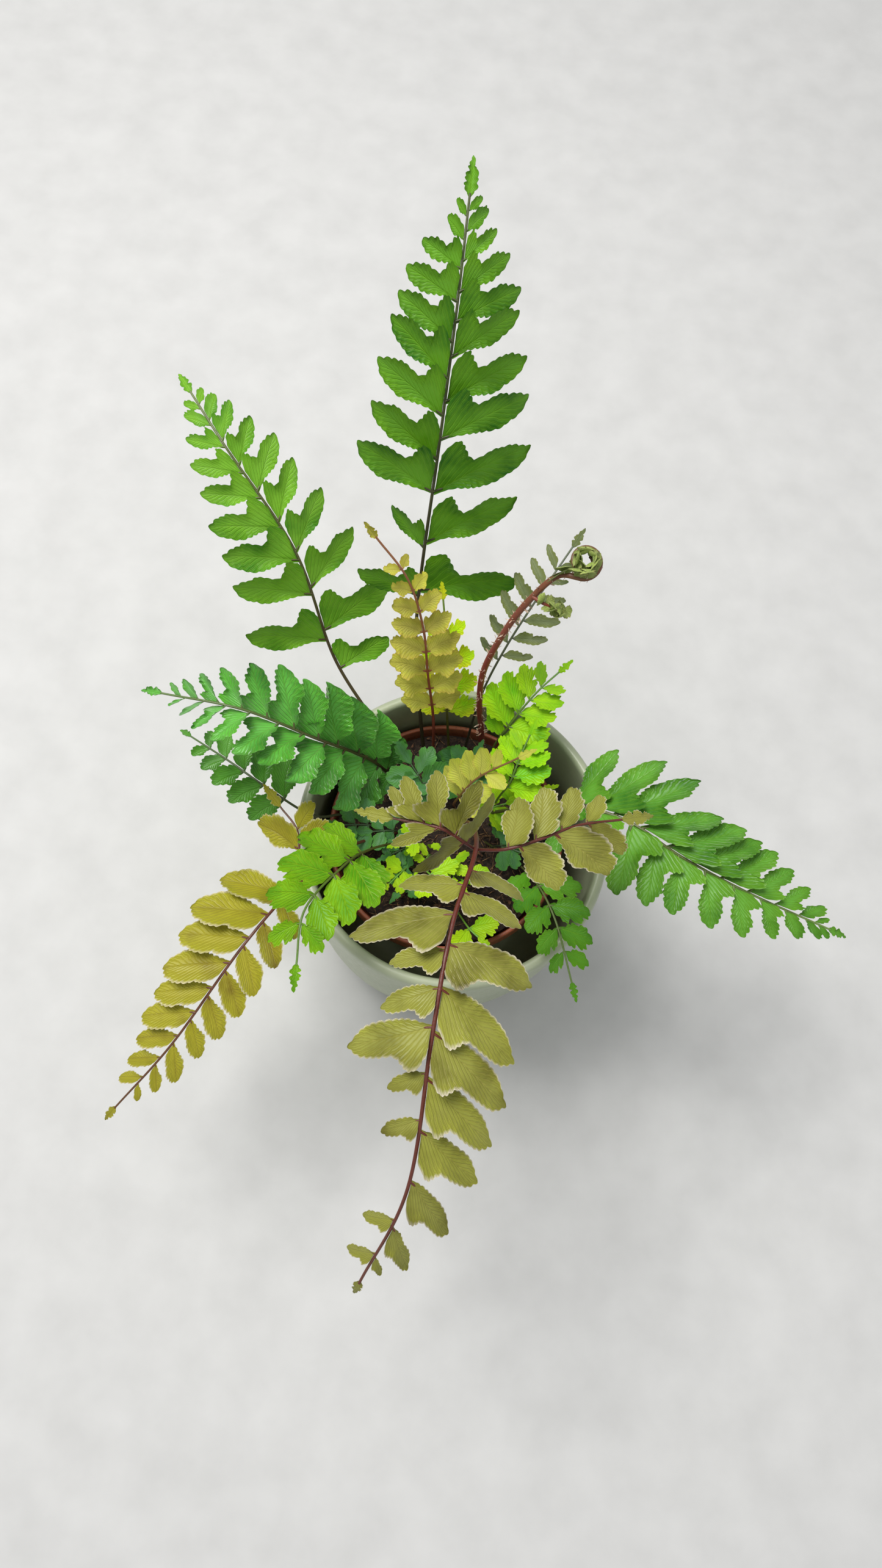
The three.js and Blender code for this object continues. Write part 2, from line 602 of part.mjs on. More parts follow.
// Height of the soil's lumps over a point of its top.
const lump = (x, y) => (
  SOIL_LUMP * (Math.sin(x / 6.3 + 1.1) * Math.cos(y / 5.1) + 0.5 * Math.sin((x + 2 * y) / 4.2))
);

// Soil: it fills the grow pot to a little under the rim, and each stem has a plain hole in it.
const soil = () => {
  const low = GROW_WALL + SOIL_GAP;
  const high = SOIL_TOP - GROW_PLACE[2];
  const slope = (50 - GROW_BASE_RADIUS + GROW_WALL) / (GROW_HEIGHT - 12.7 - GROW_WALL);
  const rim = 50 - 0.45;
  const shape = turned([
    [0, low], [rim - slope * (GROW_HEIGHT - 12.7 - low), low], [rim, GROW_HEIGHT - 12.7], [rim + 1.1, high],
    [38, high], [19, high], [0, high],
  ], GROW_SIDES).translate(...GROW_PLACE);
  const place = shape.attributes.position;
  for (let i = 0; i < place.count; i += 1) {
    const [x, y] = [place.getX(i), place.getY(i)];
    const inside = Math.hypot(x - GROW_PLACE[0], y - GROW_PLACE[1]) < 40;
    if (place.getZ(i) > SOIL_TOP - 1) {
      place.setZ(i, SOIL_TOP + (inside ? lump(x, y) : 0));
    }
  }
  return solidOf(shape);
};

// The plain hole of a stem: a tube round it, from just under its foot to above the soil.
const stemHole = (line, face, radius) => {
  const stem = new THREE.CatmullRomCurve3(line.map(vec));
  const top = 18 / stem.getLength();
  const [foot, middle, end] = [0, top / 2, top].map((t) => stem.getPointAt(t));
  foot.addScaledVector(stem.getTangentAt(0), -0.5);
  const axis = new THREE.CatmullRomCurve3([foot, middle, end]);
  return tubeSolid(axis, face, [0, 0.5, 1], () => radius + HOLE_GAP);
};

// The coiled frond: stalk, coil and buds as one body.
const crozier = () => {
  const { stalk, centre, across, upward, turns, coil, radius } = CROZIER;
  const onCoil = (share) => {
    const turn = lerp(turns[0], turns[1], share);
    const reach = lerp(coil[0], coil[1], share);
    return vec(centre)
      .addScaledVector(vec(across), reach * Math.cos(turn))
      .addScaledVector(vec(upward), reach * Math.sin(turn));
  };
  const line = [...stalk.map(vec), ...Array.from({ length: 15 }, (_, k) => onCoil(k / 14))];
  const curve = new THREE.CatmullRomCurve3(line);
  const share = 1 - 36 / curve.getLength();
  const stops = [
    ...Array.from({ length: 8 }, (_, k) => (share * k) / 8),
    ...Array.from({ length: 15 }, (_, k) => lerp(share, 1, k / 14)),
  ];
  const face = [[0, -0.33, 0.94], [0, -0.33, 0.94]];
  const tube = tubeSolid(curve, face, stops, (t) => lerp(radius[0], radius[1], t));
  const buds = Array.from({ length: 6 }, (_, k) => {
    const t = lerp(share + 0.02, 0.99, k / 5);
    const { origin, right, up } = axesAt(curve, face, t);
    const size = lerp(2.2, 1.7, k / 5);
    const bud = new THREE.OctahedronGeometry(size, 0);
    const at = origin.addScaledVector(right, (k % 2 ? 0.9 : -0.9)).addScaledVector(up, 0.6);
    return solidOf(bud.translate(at.x, at.y, at.z));
  });
  return buds.reduce((whole, bud) => whole.add(bud), tube);
};

const root = new THREE.Group();
const holes = Object.values(FRONDS).map(({ sprays: [first] }) => (
  stemHole(first.line, first.face, first.stem[0])
));
holes.push(stemHole(CROZIER.stalk, [[0, -0.33, 0.94], [0, -0.33, 0.94]], CROZIER.radius[0]));
root.add(meshOf(outerPot(), "outer_pot", "#b4bb9c", 0.35));
root.add(meshOf(growPot(), "grow_pot", "#a5553f", 0.6));
root.add(meshOf(holes.reduce((mass, hole) => mass.subtract(hole), soil()), "soil", "#2c1e16", 0.95));
Object.entries(FRONDS).forEach(([name, frond]) => {
  const whole = frond.sprays.map(spraySolid).reduce((a, b) => a.add(b));
  root.add(meshOf(whole, name, frond.colour, 0.5));
});
root.add(meshOf(crozier(), "crozier", CROZIER.colour, 0.7));

export default root;
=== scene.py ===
# Young potted fern with eared leaflets, in a thin grow pot inside a glazed outer pot.
# Metres, +Z up, origin at the centre of the outer pot's foot, front at -Y. Sizes whose names end
# in _MM, and all points and lengths of the fern, are in millimetres.
import math
import random
from dataclasses import dataclass

import bpy
import numpy as np
from mathutils import Matrix, Vector, noise


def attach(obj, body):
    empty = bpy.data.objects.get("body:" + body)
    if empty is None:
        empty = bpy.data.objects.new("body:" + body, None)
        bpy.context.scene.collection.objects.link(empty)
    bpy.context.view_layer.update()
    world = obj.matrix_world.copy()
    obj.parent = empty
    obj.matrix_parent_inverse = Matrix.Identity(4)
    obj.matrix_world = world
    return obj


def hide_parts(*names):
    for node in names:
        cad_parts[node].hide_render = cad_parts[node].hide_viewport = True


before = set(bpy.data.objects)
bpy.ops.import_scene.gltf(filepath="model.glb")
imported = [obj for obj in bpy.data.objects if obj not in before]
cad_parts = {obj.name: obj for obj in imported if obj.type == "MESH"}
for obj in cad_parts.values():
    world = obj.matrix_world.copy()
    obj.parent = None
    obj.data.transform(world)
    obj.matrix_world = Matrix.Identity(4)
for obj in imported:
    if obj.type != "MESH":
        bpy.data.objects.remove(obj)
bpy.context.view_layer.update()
MM = 0.001
FULL_TURN = 2 * math.pi


# --- Outer pot ----------------------------------------------------------------------------------
# Thick stoneware with a soft rounded rim and a satin sage glaze with fine speckles, and a painted
# highlight that makes the top of the rim paler. Its wall is near-upright and drawn in to the foot.
POT_PROFILE_MM = [
    (0, 0), (44.5, 0), (47.2, 0.2), (48.6, 0.9), (51.5, 2.6), (57, 6.3), (63, 16), (66.5, 32),
    (68.6, 60), (69.6, 95), (70, 112), (70, 116), (69.5, 118.5), (68.5, 119.7), (67.2, 120),
    (66, 119.7), (65.1, 118.5), (64.7, 116), (64.4, 108), (62.8, 60), (60.6, 34), (56.5, 19),
    (51, 11), (46, 7.2), (40, 7), (0, 7),
]
POT_SIDES = 144
POT_RIM_MM = (118.5, 120)


def smooth_line(points, steps):
    """The points of a polyline drawn as one soft curve through them, steps to a stretch."""
    p = np.array(points, float)
    q = np.vstack([2 * p[0] - p[1], p, 2 * p[-1] - p[-2]])
    out = []
    for a, b, c, d in zip(q, q[1:], q[2:], q[3:]):
        gaps = [max(np.linalg.norm(v) ** 0.5, 1e-6) for v in (b - a, c - b, d - c)]
        ab, bc, cd = (b - a) / gaps[0], (c - b) / gaps[1], (d - c) / gaps[2]
        m1 = (ab - (c - a) / (gaps[0] + gaps[1]) + bc) * gaps[1]
        m2 = (bc - (d - b) / (gaps[1] + gaps[2]) + cd) * gaps[1]
        for t in (i / steps for i in range(steps)):
            square, cube = 3 * (c - b) - 2 * m1 - m2, 2 * (b - c) + m1 + m2
            out.append(b + m1 * t + square * t**2 + cube * t**3)
    return np.array([*out, p[-1]])


def new_piece(name, verts, faces, materials=()):
    """A smooth mesh object at the origin from points in millimetres, with its materials."""
    mesh = bpy.data.meshes.new(name)
    mesh.from_pydata((np.asarray(verts, float) * MM).tolist(), [], faces)
    for material in materials:
        mesh.materials.append(material)
    mesh.polygons.foreach_set("use_smooth", [True] * len(mesh.polygons))
    piece = bpy.data.objects.new(name, mesh)
    bpy.context.collection.objects.link(piece)
    return piece


def circle(centre, radius, height, sides):
    """The points of a level circle round an upright axis through the centre."""
    turns = [FULL_TURN * i / sides for i in range(sides)]
    return [
        (centre[0] + radius * math.cos(a), centre[1] + radius * math.sin(a), height) for a in turns
    ]


def turned_piece(name, profile, sides, place, material):
    """A profile of radius and height turned round an upright axis, closed where it meets it."""
    verts = []
    rings = []
    for radius, height in profile:
        on_axis = radius < 1e-6
        rings.append([len(verts) + (0 if on_axis else i) for i in range(sides)])
        if on_axis:
            verts.append((place[0], place[1], place[2] + height))
        else:
            verts += circle(place, radius, place[2] + height, sides)
    faces = []
    for low, high in zip(rings, rings[1:]):
        for i in range(sides):
            j = (i + 1) % sides
            faces.append(list(dict.fromkeys([low[i], low[j], high[j], high[i]])))
    return new_piece(name, verts, faces, [material])


def add_node(tree, kind, settings=None, **sockets):
    """A node. Each socket, by name or as i and its number, takes a constant or a link."""
    node = tree.nodes.new(kind)
    for key, value in (settings or {}).items():
        setattr(node, key, value)
    for key, value in sockets.items():
        by_number = key[0] == "i" and key[1:].isdigit()
        socket = node.inputs[int(key[1:]) if by_number else key.replace("_", " ")]
        if isinstance(value, bpy.types.NodeSocket):
            tree.links.new(value, socket)
        else:
            socket.default_value = value
    return node


class Paint:
    """A node material in Object coordinates, with short names for the nodes it often needs."""

    def __init__(self, name):
        self.material = bpy.data.materials.new(name)
        self.material.use_nodes = True
        self.tree = self.material.node_tree
        self.tree.nodes.clear()
        self.where = self.add("TexCoord").outputs["Object"]

    def add(self, kind, settings=None, **sockets):
        return add_node(self.tree, "ShaderNode" + kind, settings, **sockets)

    def noise(self, scale, detail, **sockets):
        given = {"Vector": self.where, **sockets}
        return self.add("TexNoise", Scale=scale, Detail=detail, **given).outputs["Fac"]

    def cells(self, scale):
        return self.add("TexVoronoi", Vector=self.where, Scale=scale).outputs["Distance"]

    def own(self, name):
        """What the mesh holds under this name at each point."""
        return self.add("Attribute", {"attribute_name": name}).outputs["Fac"]

    def math(self, operation, a, b=0.0):
        return self.add("Math", {"operation": operation}, i0=a, i1=b).outputs[0]

    def times(self, a, b):
        return self.math("MULTIPLY", a, b)

    def plus(self, a, b):
        return self.math("ADD", a, b)

    def minus(self, a, b):
        return self.math("SUBTRACT", a, b)

    def between(self, value, low, high, start=0.0, end=1.0):
        """From start to end as the value goes from low to high."""
        return self.add("MapRange", Value=value, i1=low, i2=high, i3=start, i4=end).outputs[0]

    def ramp(self, value, *stops):
        node = self.add("ValToRGB", i0=value)
        marks = node.color_ramp.elements
        while len(marks) < len(stops):
            marks.new(0.5)
        for mark, (place, colour) in zip(marks, stops):
            mark.position = place
            mark.color = (*colour, 1)
        return node.outputs[0]

    def mix(self, share, a, b):
        """Colour a with a share of colour b over it."""
        return self.add("Mix", {"data_type": "RGBA"}, i0=share, i6=a, i7=(*b, 1)).outputs[2]

    def bump(self, height, strength, distance):
        return self.add("Bump", Height=height, Strength=strength, Distance=distance).outputs[0]

    def finish(self, shader):
        self.add("OutputMaterial", i0=shader.outputs[0])
        return self.material

    def surface(self, **sockets):
        return self.finish(self.add("BsdfPrincipled", **sockets))


def glaze_paint():
    paint = Paint("sage_glaze")
    cloud = paint.noise(26.0, 4.0)
    fine = paint.noise(420.0, 3.0)
    colour = paint.ramp(cloud, (0.3, (0.33, 0.38, 0.24)), (0.7, (0.43, 0.48, 0.32)))
    specks = paint.math("LESS_THAN", paint.cells(900.0), 0.12)
    specks = paint.times(specks, paint.math("GREATER_THAN", fine, 0.56))
    colour = paint.mix(paint.times(specks, 0.35), colour, (0.16, 0.17, 0.1))
    height = paint.add("SeparateXYZ", Vector=paint.where).outputs[2]
    # painted highlight: the top of the rim is mixed towards a pale tone
    rim = paint.between(height, POT_RIM_MM[0] * MM, POT_RIM_MM[1] * MM)
    colour = paint.mix(paint.times(rim, 0.35), colour, (0.5, 0.53, 0.38))
    return paint.surface(
        Base_Color=colour, Roughness=paint.ramp(fine, (0.3, (0.33,) * 3), (0.7, (0.46,) * 3)),
        Normal=paint.bump(paint.plus(cloud, fine), 0.12, 0.0006), Coat_Weight=0.25,
        Coat_Roughness=0.25)


outer_pot = turned_piece(
    "outer_pot_glazed", smooth_line(POT_PROFILE_MM, 4), POT_SIDES, (0, 0, 0), glaze_paint())
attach(outer_pot, "root")
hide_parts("outer_pot")


# --- Grow pot -----------------------------------------------------------------------------------
# Thin orange-brown plastic with a thicker rim band, standing a little off the middle. It has
# moulding rings, scuffs and a trace of soil, and drain holes cut through its floor.
GROW_PLACE_MM = (-3, 6, 7.3)
GROW_PROFILE_MM = [
    (0, 0), (36.5, 0), (38, 0.6), (44.4, 36), (51.4, 75.4), (51.9, 76.3), (54.2, 76.6),
    (54.9, 77.5), (54.9, 86.7), (54.5, 87.5), (53.8, 87.7), (53.1, 87.5), (52.8, 86.8), (52.4, 80),
    (50.2, 75.6), (43, 37), (36.6, 2.4), (35, 1.5), (0, 1.5),
]
GROW_SIDES = 120
DRAINS = 6
DRAIN_SIDES = 20
DRAIN_CIRCLE_MM = 24
DRAIN_RADIUS_MM = 3.5
DRAIN_FROM_MM, DRAIN_TO_MM = -3, 4


def plastic_paint():
    paint = Paint("orange_brown_plastic")
    cloud = paint.noise(60.0, 5.0)
    grit = paint.noise(700.0, 4.0)
    colour = paint.ramp(cloud, (0.35, (0.3, 0.075, 0.035)), (0.65, (0.43, 0.13, 0.065)))
    dust = paint.times(paint.math("GREATER_THAN", grit, 0.62), 0.5)
    colour = paint.mix(dust, colour, (0.09, 0.05, 0.03))
    level = paint.add("Mapping", Vector=paint.where, Scale=(1.0, 1.0, 40.0)).outputs[0]
    rings = paint.noise(30.0, 2.0, Vector=level)
    return paint.surface(
        Base_Color=colour, Roughness=paint.ramp(cloud, (0.3, (0.42,) * 3), (0.7, (0.6,) * 3)),
        Normal=paint.bump(paint.plus(rings, grit), 0.25, 0.0004))


def make_plain(piece):
    """Applies the piece's modifiers to its own mesh."""
    shown = piece.evaluated_get(bpy.context.evaluated_depsgraph_get())
    mesh = bpy.data.meshes.new_from_object(shown)
    piece.modifiers.clear()
    piece.data = mesh


grow_pot = turned_piece(
    "grow_pot_plastic", smooth_line(GROW_PROFILE_MM, 3), GROW_SIDES, GROW_PLACE_MM, plastic_paint())
drill_points = []
drill_faces = []
for spot in circle(GROW_PLACE_MM, DRAIN_CIRCLE_MM, 0, DRAINS):
    first = len(drill_points)
    low = [first + i for i in range(DRAIN_SIDES)]
    high = [i + DRAIN_SIDES for i in low]
    for z in (DRAIN_FROM_MM, DRAIN_TO_MM):
        drill_points += circle(spot, DRAIN_RADIUS_MM, GROW_PLACE_MM[2] + z, DRAIN_SIDES)
    for i in range(DRAIN_SIDES):
        j = (i + 1) % DRAIN_SIDES
        drill_faces.append([low[i], low[j], high[j], high[i]])
    drill_faces += [low[::-1], high]
drill = new_piece("drill", drill_points, drill_faces)
cut = grow_pot.modifiers.new("drains", "BOOLEAN")
cut.operation = "DIFFERENCE"
cut.object = drill
make_plain(grow_pot)
bpy.data.objects.remove(drill)
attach(grow_pot, "root")
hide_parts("grow_pot")


# --- Soil ---------------------------------------------------------------------------------------
# Dark potting soil that fills the grow pot to just under its rim, with an uneven crumbly top.
# Its mesh is a round of rings, then the side and the foot inside the grow pot.
SOIL_TOP_MM = 90.5
SOIL_RADIUS_MM = 51.2
SOIL_EDGE_DROP_MM = 0.4
SOIL_EDGE_WIDTH_MM = 4
SOIL_SIDE_MM = ((49.2, 82.5), (36.5, 9.3))
SOIL_RINGS = 46
SOIL_SIDES = 128
CLOD_MM, CLOD_RISE_MM, SWELL_RISE_MM = 7, 1.1, 0.8
CLOD_SLICE, CLOD_ROUGHNESS, CLOD_STEP, CLOD_OCTAVES = 3.1, 0.9, 2.1, 5
SWELL_X_MM, SWELL_Y_MM, SWELL_ASLANT_MM, SWELL_START = 6.3, 5.1, 4.2, 1.1


def soil_height(x, y):
    """How far the soil's top stands over its mean level: clods on a wider swell."""
    spot = Vector((x / CLOD_MM, y / CLOD_MM, CLOD_SLICE))
    clods = noise.fractal(spot, CLOD_ROUGHNESS, CLOD_STEP, CLOD_OCTAVES)
    swell = math.sin(x / SWELL_X_MM + SWELL_START) * math.cos(y / SWELL_Y_MM)
    swell += 0.5 * math.sin((x + 2 * y) / SWELL_ASLANT_MM)
    return SWELL_RISE_MM * swell + CLOD_RISE_MM * clods


def soil_paint():
    paint = Paint("potting_soil")
    crumb = paint.noise(480.0, 6.0, Roughness=0.7)
    colour = paint.ramp(
        crumb, (0.3, (0.008, 0.005, 0.004)), (0.52, (0.028, 0.016, 0.01)),
        (0.72, (0.11, 0.062, 0.035)))
    return paint.surface(
        Base_Color=colour, Roughness=0.92,
        Normal=paint.bump(paint.plus(crumb, paint.cells(330.0)), 0.9, 0.0012))


middle = GROW_PLACE_MM[:2]
soil_points = [(*middle, SOIL_TOP_MM + soil_height(*middle))]
for ring in range(1, SOIL_RINGS + 1):
    reach = SOIL_RADIUS_MM * ring / SOIL_RINGS
    fade = min(1, (SOIL_RADIUS_MM - reach) / SOIL_EDGE_WIDTH_MM)
    for x, y, low in circle(middle, reach, SOIL_TOP_MM - SOIL_EDGE_DROP_MM, SOIL_SIDES):
        soil_points.append((x, y, low + (SOIL_EDGE_DROP_MM + soil_height(x, y)) * fade))
for radius, height in SOIL_SIDE_MM:
    soil_points += circle(middle, radius, height, SOIL_SIDES)
soil_points.append((*middle, SOIL_SIDE_MM[-1][1]))
soil_faces = []
for i in range(SOIL_SIDES):
    j = (i + 1) % SOIL_SIDES
    soil_faces.append([0, 1 + i, 1 + j])
    for ring in range(SOIL_RINGS + 1):
        a, b = 1 + ring * SOIL_SIDES, 1 + (ring + 1) * SOIL_SIDES
        soil_faces.append([a + i, b + i, b + j, a + j])
    last = 1 + (SOIL_RINGS + 1) * SOIL_SIDES
    soil_faces.append([last + i, len(soil_points) - 1, last + j])
soil = new_piece("potting_soil", soil_points, soil_faces, [soil_paint()])
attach(soil, "root")
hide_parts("soil")


# --- Fern: how every frond is built -------------------------------------------------------------
# A frond is one or more sprays: a grooved stem along a midline and leaflets on both sides of it.
# A leaflet is a thin closed blade with a fine toothed edge, laid in strips from its rib to its
# edge, so that its veins can follow the strips. Eared leaflets have no ear while they are small.

# Outlines of leaflets of length 1. A point gives its place along the rib and then along the stem,
# with + towards the frond's tip, and a cut its side, its place on that edge and its depth.
LEAFLETS = {
    "eared": {
        "near": [(0.25, -0.05), (0.7, -0.2), (0.95, -0.11)], "point": (1, 0.04),
        "far": [(0.68, 0.25), (0.37, 0.26), (0.18, 0.54), (0.04, 0.5)], "rib": (0.5, 0.04),
        "cuts": [(1, 0.3, 0.03), (1, 0.8, 0.025), (-1, 0.7, 0.02)],
    },
    "round": {
        "near": [(0.2, -0.09), (0.62, -0.26)], "point": (1, 0),
        "far": [(0.8, 0.3), (0.4, 0.47), (0.04, 0.4)], "rib": (0.5, 0.06),
        "cuts": [(1, 0.36, 0.07), (1, 0.68, 0.06), (-1, 0.74, 0.05)],
    },
    "sickle": {
        "near": [(0.4, -0.15), (0.82, -0.1)], "point": (1, 0.12),
        "far": [(0.82, 0.26), (0.6, 0.29), (0.4, 0.3), (0.18, 0.5), (0.03, 0.42)],
        "rib": (0.45, 0.06), "cuts": [(1, 0.28, 0.03)],
    },
    "lobed": {
        "near": [(0.38, -0.18), (0.72, -0.3), (0.97, -0.14)], "point": (1, 0.08),
        "far": [(0.8, 0.3), (0.44, 0.38), (0.05, 0.3)], "rib": (0.5, 0.02),
        "cuts": [(1, 0.42, 0.05), (1, 0.74, 0.035), (-1, 0.78, 0.03)],
    },
    "fan": {
        "near": [(0.2, -0.09), (0.5, -0.28), (0.9, -0.27)], "point": (1, 0.04),
        "far": [(0.84, 0.26), (0.54, 0.46), (0.1, 0.42)], "rib": (0.44, 0),
        "cuts": [
            (1, 0.25, 0.08), (1, 0.5, 0.13), (1, 0.78, 0.07), (-1, 0.55, 0.05), (-1, 0.82, 0.07)],
    },
    "narrow": {
        "near": [(0.3, -0.1), (0.8, -0.13)], "point": (1, 0),
        "far": [(0.86, 0.15), (0.55, 0.2), (0.2, 0.28)], "rib": (0.5, 0.02),
        "cuts": [(1, 0.35, 0.05), (1, 0.6, 0.04)],
    },
    "end": {
        "near": [(0.3, -0.2), (0.75, -0.14)], "point": (1.1, 0), "far": [(0.7, 0.15), (0.3, 0.2)],
        "rib": (0.5, 0),
        "cuts": [(1, 0.35, 0.1), (1, 0.65, 0.07), (-1, 0.4, 0.1), (-1, 0.72, 0.07)],
    },
}
LARGE_LEAFLET_MM, MIDDLE_LEAFLET_MM, EARED_FROM_MM = 24, 12, 13
LEAFLET_STRIPS = (76, 54, 32)
LEAFLET_FOOT_HALF = 0.03
BLADE_HALF_MM = 0.15
EDGE_POINTS, EDGE_CURVE_STEPS, RIB_CURVE_STEPS, MIDLINE_STEPS = 160, 24, 40, 80
TOOTH_MM, TOOTH_SHARE, TOOTH_SHARPNESS, TOOTH_LEVEL = 0.7, 0.045, 0.8, 0.55
TEETH_FOR_MM, TEETH_GROWTH, FEWEST_TEETH = 30, 0.7, 5
UNEVEN_SHARE, UNEVEN_WAVES = 0.012, 17
CUT_HALF_WIDTH, CUT_ROUNDNESS, CUT_SHIFT, CUT_DEPTHS = 0.075, 1.3, 0.04, (0.6, 1.3)
CUP_RANGE, WAVE_RANGE, WAVE_COUNT = (0.5, 1.4), (0.6, 1.3), 13
LEAN_DEGREES, RISE_DEGREES, TWIST_DEGREES = (-2.5, 2.5), (-3, 3), (-4, 4)
STEM_SIDES, STEM_GROOVE, STEM_STEP_MM, STEM_END = 10, 0.28, 2.2, 0.995
NECK_SIDES, NECK_GROOVE, NECK_REACH, NECK_MM = 6, 0.1, 0.09, (0.26, 0.5)
NECK_STOPS, NECK_WIDTHS = (0, 0.35, 0.7, 1), (1.15, 1, 0.9, 0.5)
TANGENT_STEP = 0.004
BLADE_PART, STEM_PART = 0, 1
RIB_HALF_WIDTH, UNDER_SHARE, SEEN_THROUGH = 0.07, 0.6, 0.22


@dataclass
class Look:
    """How a frond's leaflets are cut and painted. Its colours are six hexadecimal digits each."""
    dark: str                    # the blade is mottled between dark and light
    light: str
    vein: str
    edge: str
    under: str
    painted_sheen: str                   # a painted sheen: a paler tone inside the blade
    stem: tuple                  # from the base to the tip
    painted_sheen_share: float = 0.3
    rim: float = 0.3             # lighter margins, or darker ones below 0
    younger: float = 0.15        # lighter towards the frond's tip
    edge_from: float = 0.93
    edge_share: float = 0.35
    vein_count: float = 12
    vein_share: float = 0.35
    vein_relief: float = 0.00025
    rough: float = 0.34
    gloss: float = 0.4
    sheen: float = 0.05
    teeth: float = 0.7
    tooth_count: float = 10
    lobes: float = 1
    cup: float = 0.05            # how deep the blade is folded and waved, for a length of 1
    wave: float = 0.03
    stem_width: float = 0.62


@dataclass
class Spray:
    """A stem with its leaflets. They are given one by one, or as lengths from base to tip."""
    line: list
    outline: str
    tip: float                   # the length of the leaflet at the end
    stem: tuple = (1, 0.65)      # its radius at the base and at the tip
    face: tuple = ((0, 0, 1), (0, 0, 1))  # where the upper side looks, at the base and at the tip
    leaves: tuple = ()           # share of the midline, side, length and angle of each
    span: tuple = ()             # or the shares between which the lengths are spread
    left: tuple = ()             # 0 where a leaflet is missing
    right: tuple = ()
    angle: tuple = (66, 50)
    ease: float = 1              # over 1 draws them together towards the tip
    stagger: float = 0           # how far the right ones stand on from the left ones
    rise: float = 4              # degrees out of the spray's plane
    hang: float = 0.05
    twist: float = 10            # degrees round each leaflet's own rib


def unit(v):
    return v / np.linalg.norm(v)


def drawn(value, low, high):
    return low + (high - low) * value


def along_points(points, steps):
    """A soft curve through the points, and the curve's length up to each of its own points."""
    line = smooth_line(points, steps)
    return line, np.concatenate([[0], np.cumsum(np.linalg.norm(np.diff(line, axis=0), axis=1))])


def taken(at, stops, points):
    """The point of a polyline at each place, where stops are the places of its own points."""
    return np.stack([np.interp(at, stops, points[:, k]) for k in range(points.shape[1])], -1)


class Midline:
    """A soft curve through points, measured by its length."""

    def __init__(self, points):
        self.points, self.reach = along_points(points, MIDLINE_STEPS)
        self.length = self.reach[-1]

    def at(self, t):
        return taken(t * self.length, self.reach, self.points)

    def axes(self, face, t):
        """The point at t, and the ways along the stem, to its right and out of its upper face."""
        tangent = unit(self.at(min(1, t + TANGENT_STEP)) - self.at(max(0, t - TANGENT_STEP)))
        look = drawn(t, np.array(face[0], float), np.array(face[1], float))
        right = unit(np.cross(tangent, look))
        return self.at(t), tangent, right, np.cross(right, tangent)


class Skin:
    """Points, faces and what is painted on them, gathered for one frond."""

    def __init__(self):
        self.points = []
        self.faces = []
        self.parts = []
        self.veins = []
        self.painted = {"shade": [], "age": [], "under": []}

    def point(self, place, vein, shade, age, under=False):
        self.points.append(place)
        self.veins.append(vein)
        for values, value in zip(self.painted.values(), (shade, age, under)):
            values.append(float(value))
        return len(self.points) - 1

    def face(self, corners, part):
        kept = list(dict.fromkeys(corners))
        if len(kept) > 2:
            self.faces.append(kept)
            self.parts.append(part)

    def piece(self, name, look, paint_name):
        """The mesh with its leaf and stem materials, their names made from paint_name."""
        paints = [leaf_paint(paint_name + "_leaf", look), stem_paint(paint_name + "_stem", look)]
        made = new_piece(name, self.points, self.faces, paints)
        mesh = made.data
        mesh.polygons.foreach_set("material_index", self.parts)
        corners = np.zeros(len(mesh.loops), dtype=np.int32)
        mesh.loops.foreach_get("vertex_index", corners)
        layer = mesh.uv_layers.new(name="veins")
        layer.data.foreach_set("uv", np.array(self.veins)[corners].ravel())
        for key, values in self.painted.items():
            mesh.attributes.new(key, "FLOAT", "POINT").data.foreach_set("value", values)
        mesh.set_sharp_from_angle(angle=math.radians(60))
        return made


def half_edge(points, teeth, depth, cuts):
    """One side of a leaflet's outline in even steps, cut into rounded teeth and a few lobes."""
    line, reach = along_points(points, EDGE_CURVE_STEPS)
    s = np.linspace(0, 1, EDGE_POINTS)
    edge = taken(s * reach[-1], reach, line)
    way = np.gradient(edge, axis=0)
    side = 1 if np.mean(edge[:, 1]) > 0 else -1
    normal = np.stack([-way[:, 1], way[:, 0]], 1) * side
    normal /= np.maximum(np.linalg.norm(normal, axis=1), 1e-9)[:, None]
    uneven = s + UNEVEN_SHARE * np.sin(UNEVEN_WAVES * s)
    tooth = np.abs(np.sin(math.pi * teeth * uneven)) ** TOOTH_SHARPNESS - TOOTH_LEVEL
    from_foot = np.clip((edge[:, 0] + 0.6 * np.abs(edge[:, 1])) * 5 - 0.4, 0, 1)
    notch = 0 * s
    for place, deep in cuts:
        slope = np.clip(1 - np.abs(s - place) / CUT_HALF_WIDTH, 0, 1)
        notch = notch + deep * slope ** CUT_ROUNDNESS
    return edge + normal * (tooth * from_foot * depth - notch)[:, None]


def leaflet_halves(shape, length, look, dice, shares):
    """Both edges of a leaflet, near and far, at the shares where its strips meet them."""
    size = max(length, 6)
    depth = look.teeth * min(TOOTH_SHARE, TOOTH_MM / size)
    halves = []
    for side, key, more_teeth in ((-1, "near", 1.1), (1, "far", 1.5)):
        line = [(0, side * LEAFLET_FOOT_HALF), *shape[key][::-side], shape["point"]]
        teeth = look.tooth_count * (size / TEETH_FOR_MM) ** TEETH_GROWTH * more_teeth
        cuts = [
            (s + drawn(dice.random(), -CUT_SHIFT, CUT_SHIFT),
             deep * look.lobes * drawn(dice.random(), *CUT_DEPTHS))
            for way, s, deep in shape["cuts"] if way == side
        ]
        edge = half_edge(line, max(FEWEST_TEETH, round(teeth)), depth, cuts)
        s = np.linspace(0, 1, len(edge))
        along = np.clip(edge[:, 0] - 0.3 * np.abs(edge[:, 1]) * (1 - edge[:, 0]), 0, 1)
        along = 0.55 * np.maximum.accumulate(along) + 0.45 * s
        along = (along - along[0]) / (along[-1] - along[0])
        halves.append(taken(np.interp(shares ** 1.15, along, s), s, edge))
    return halves


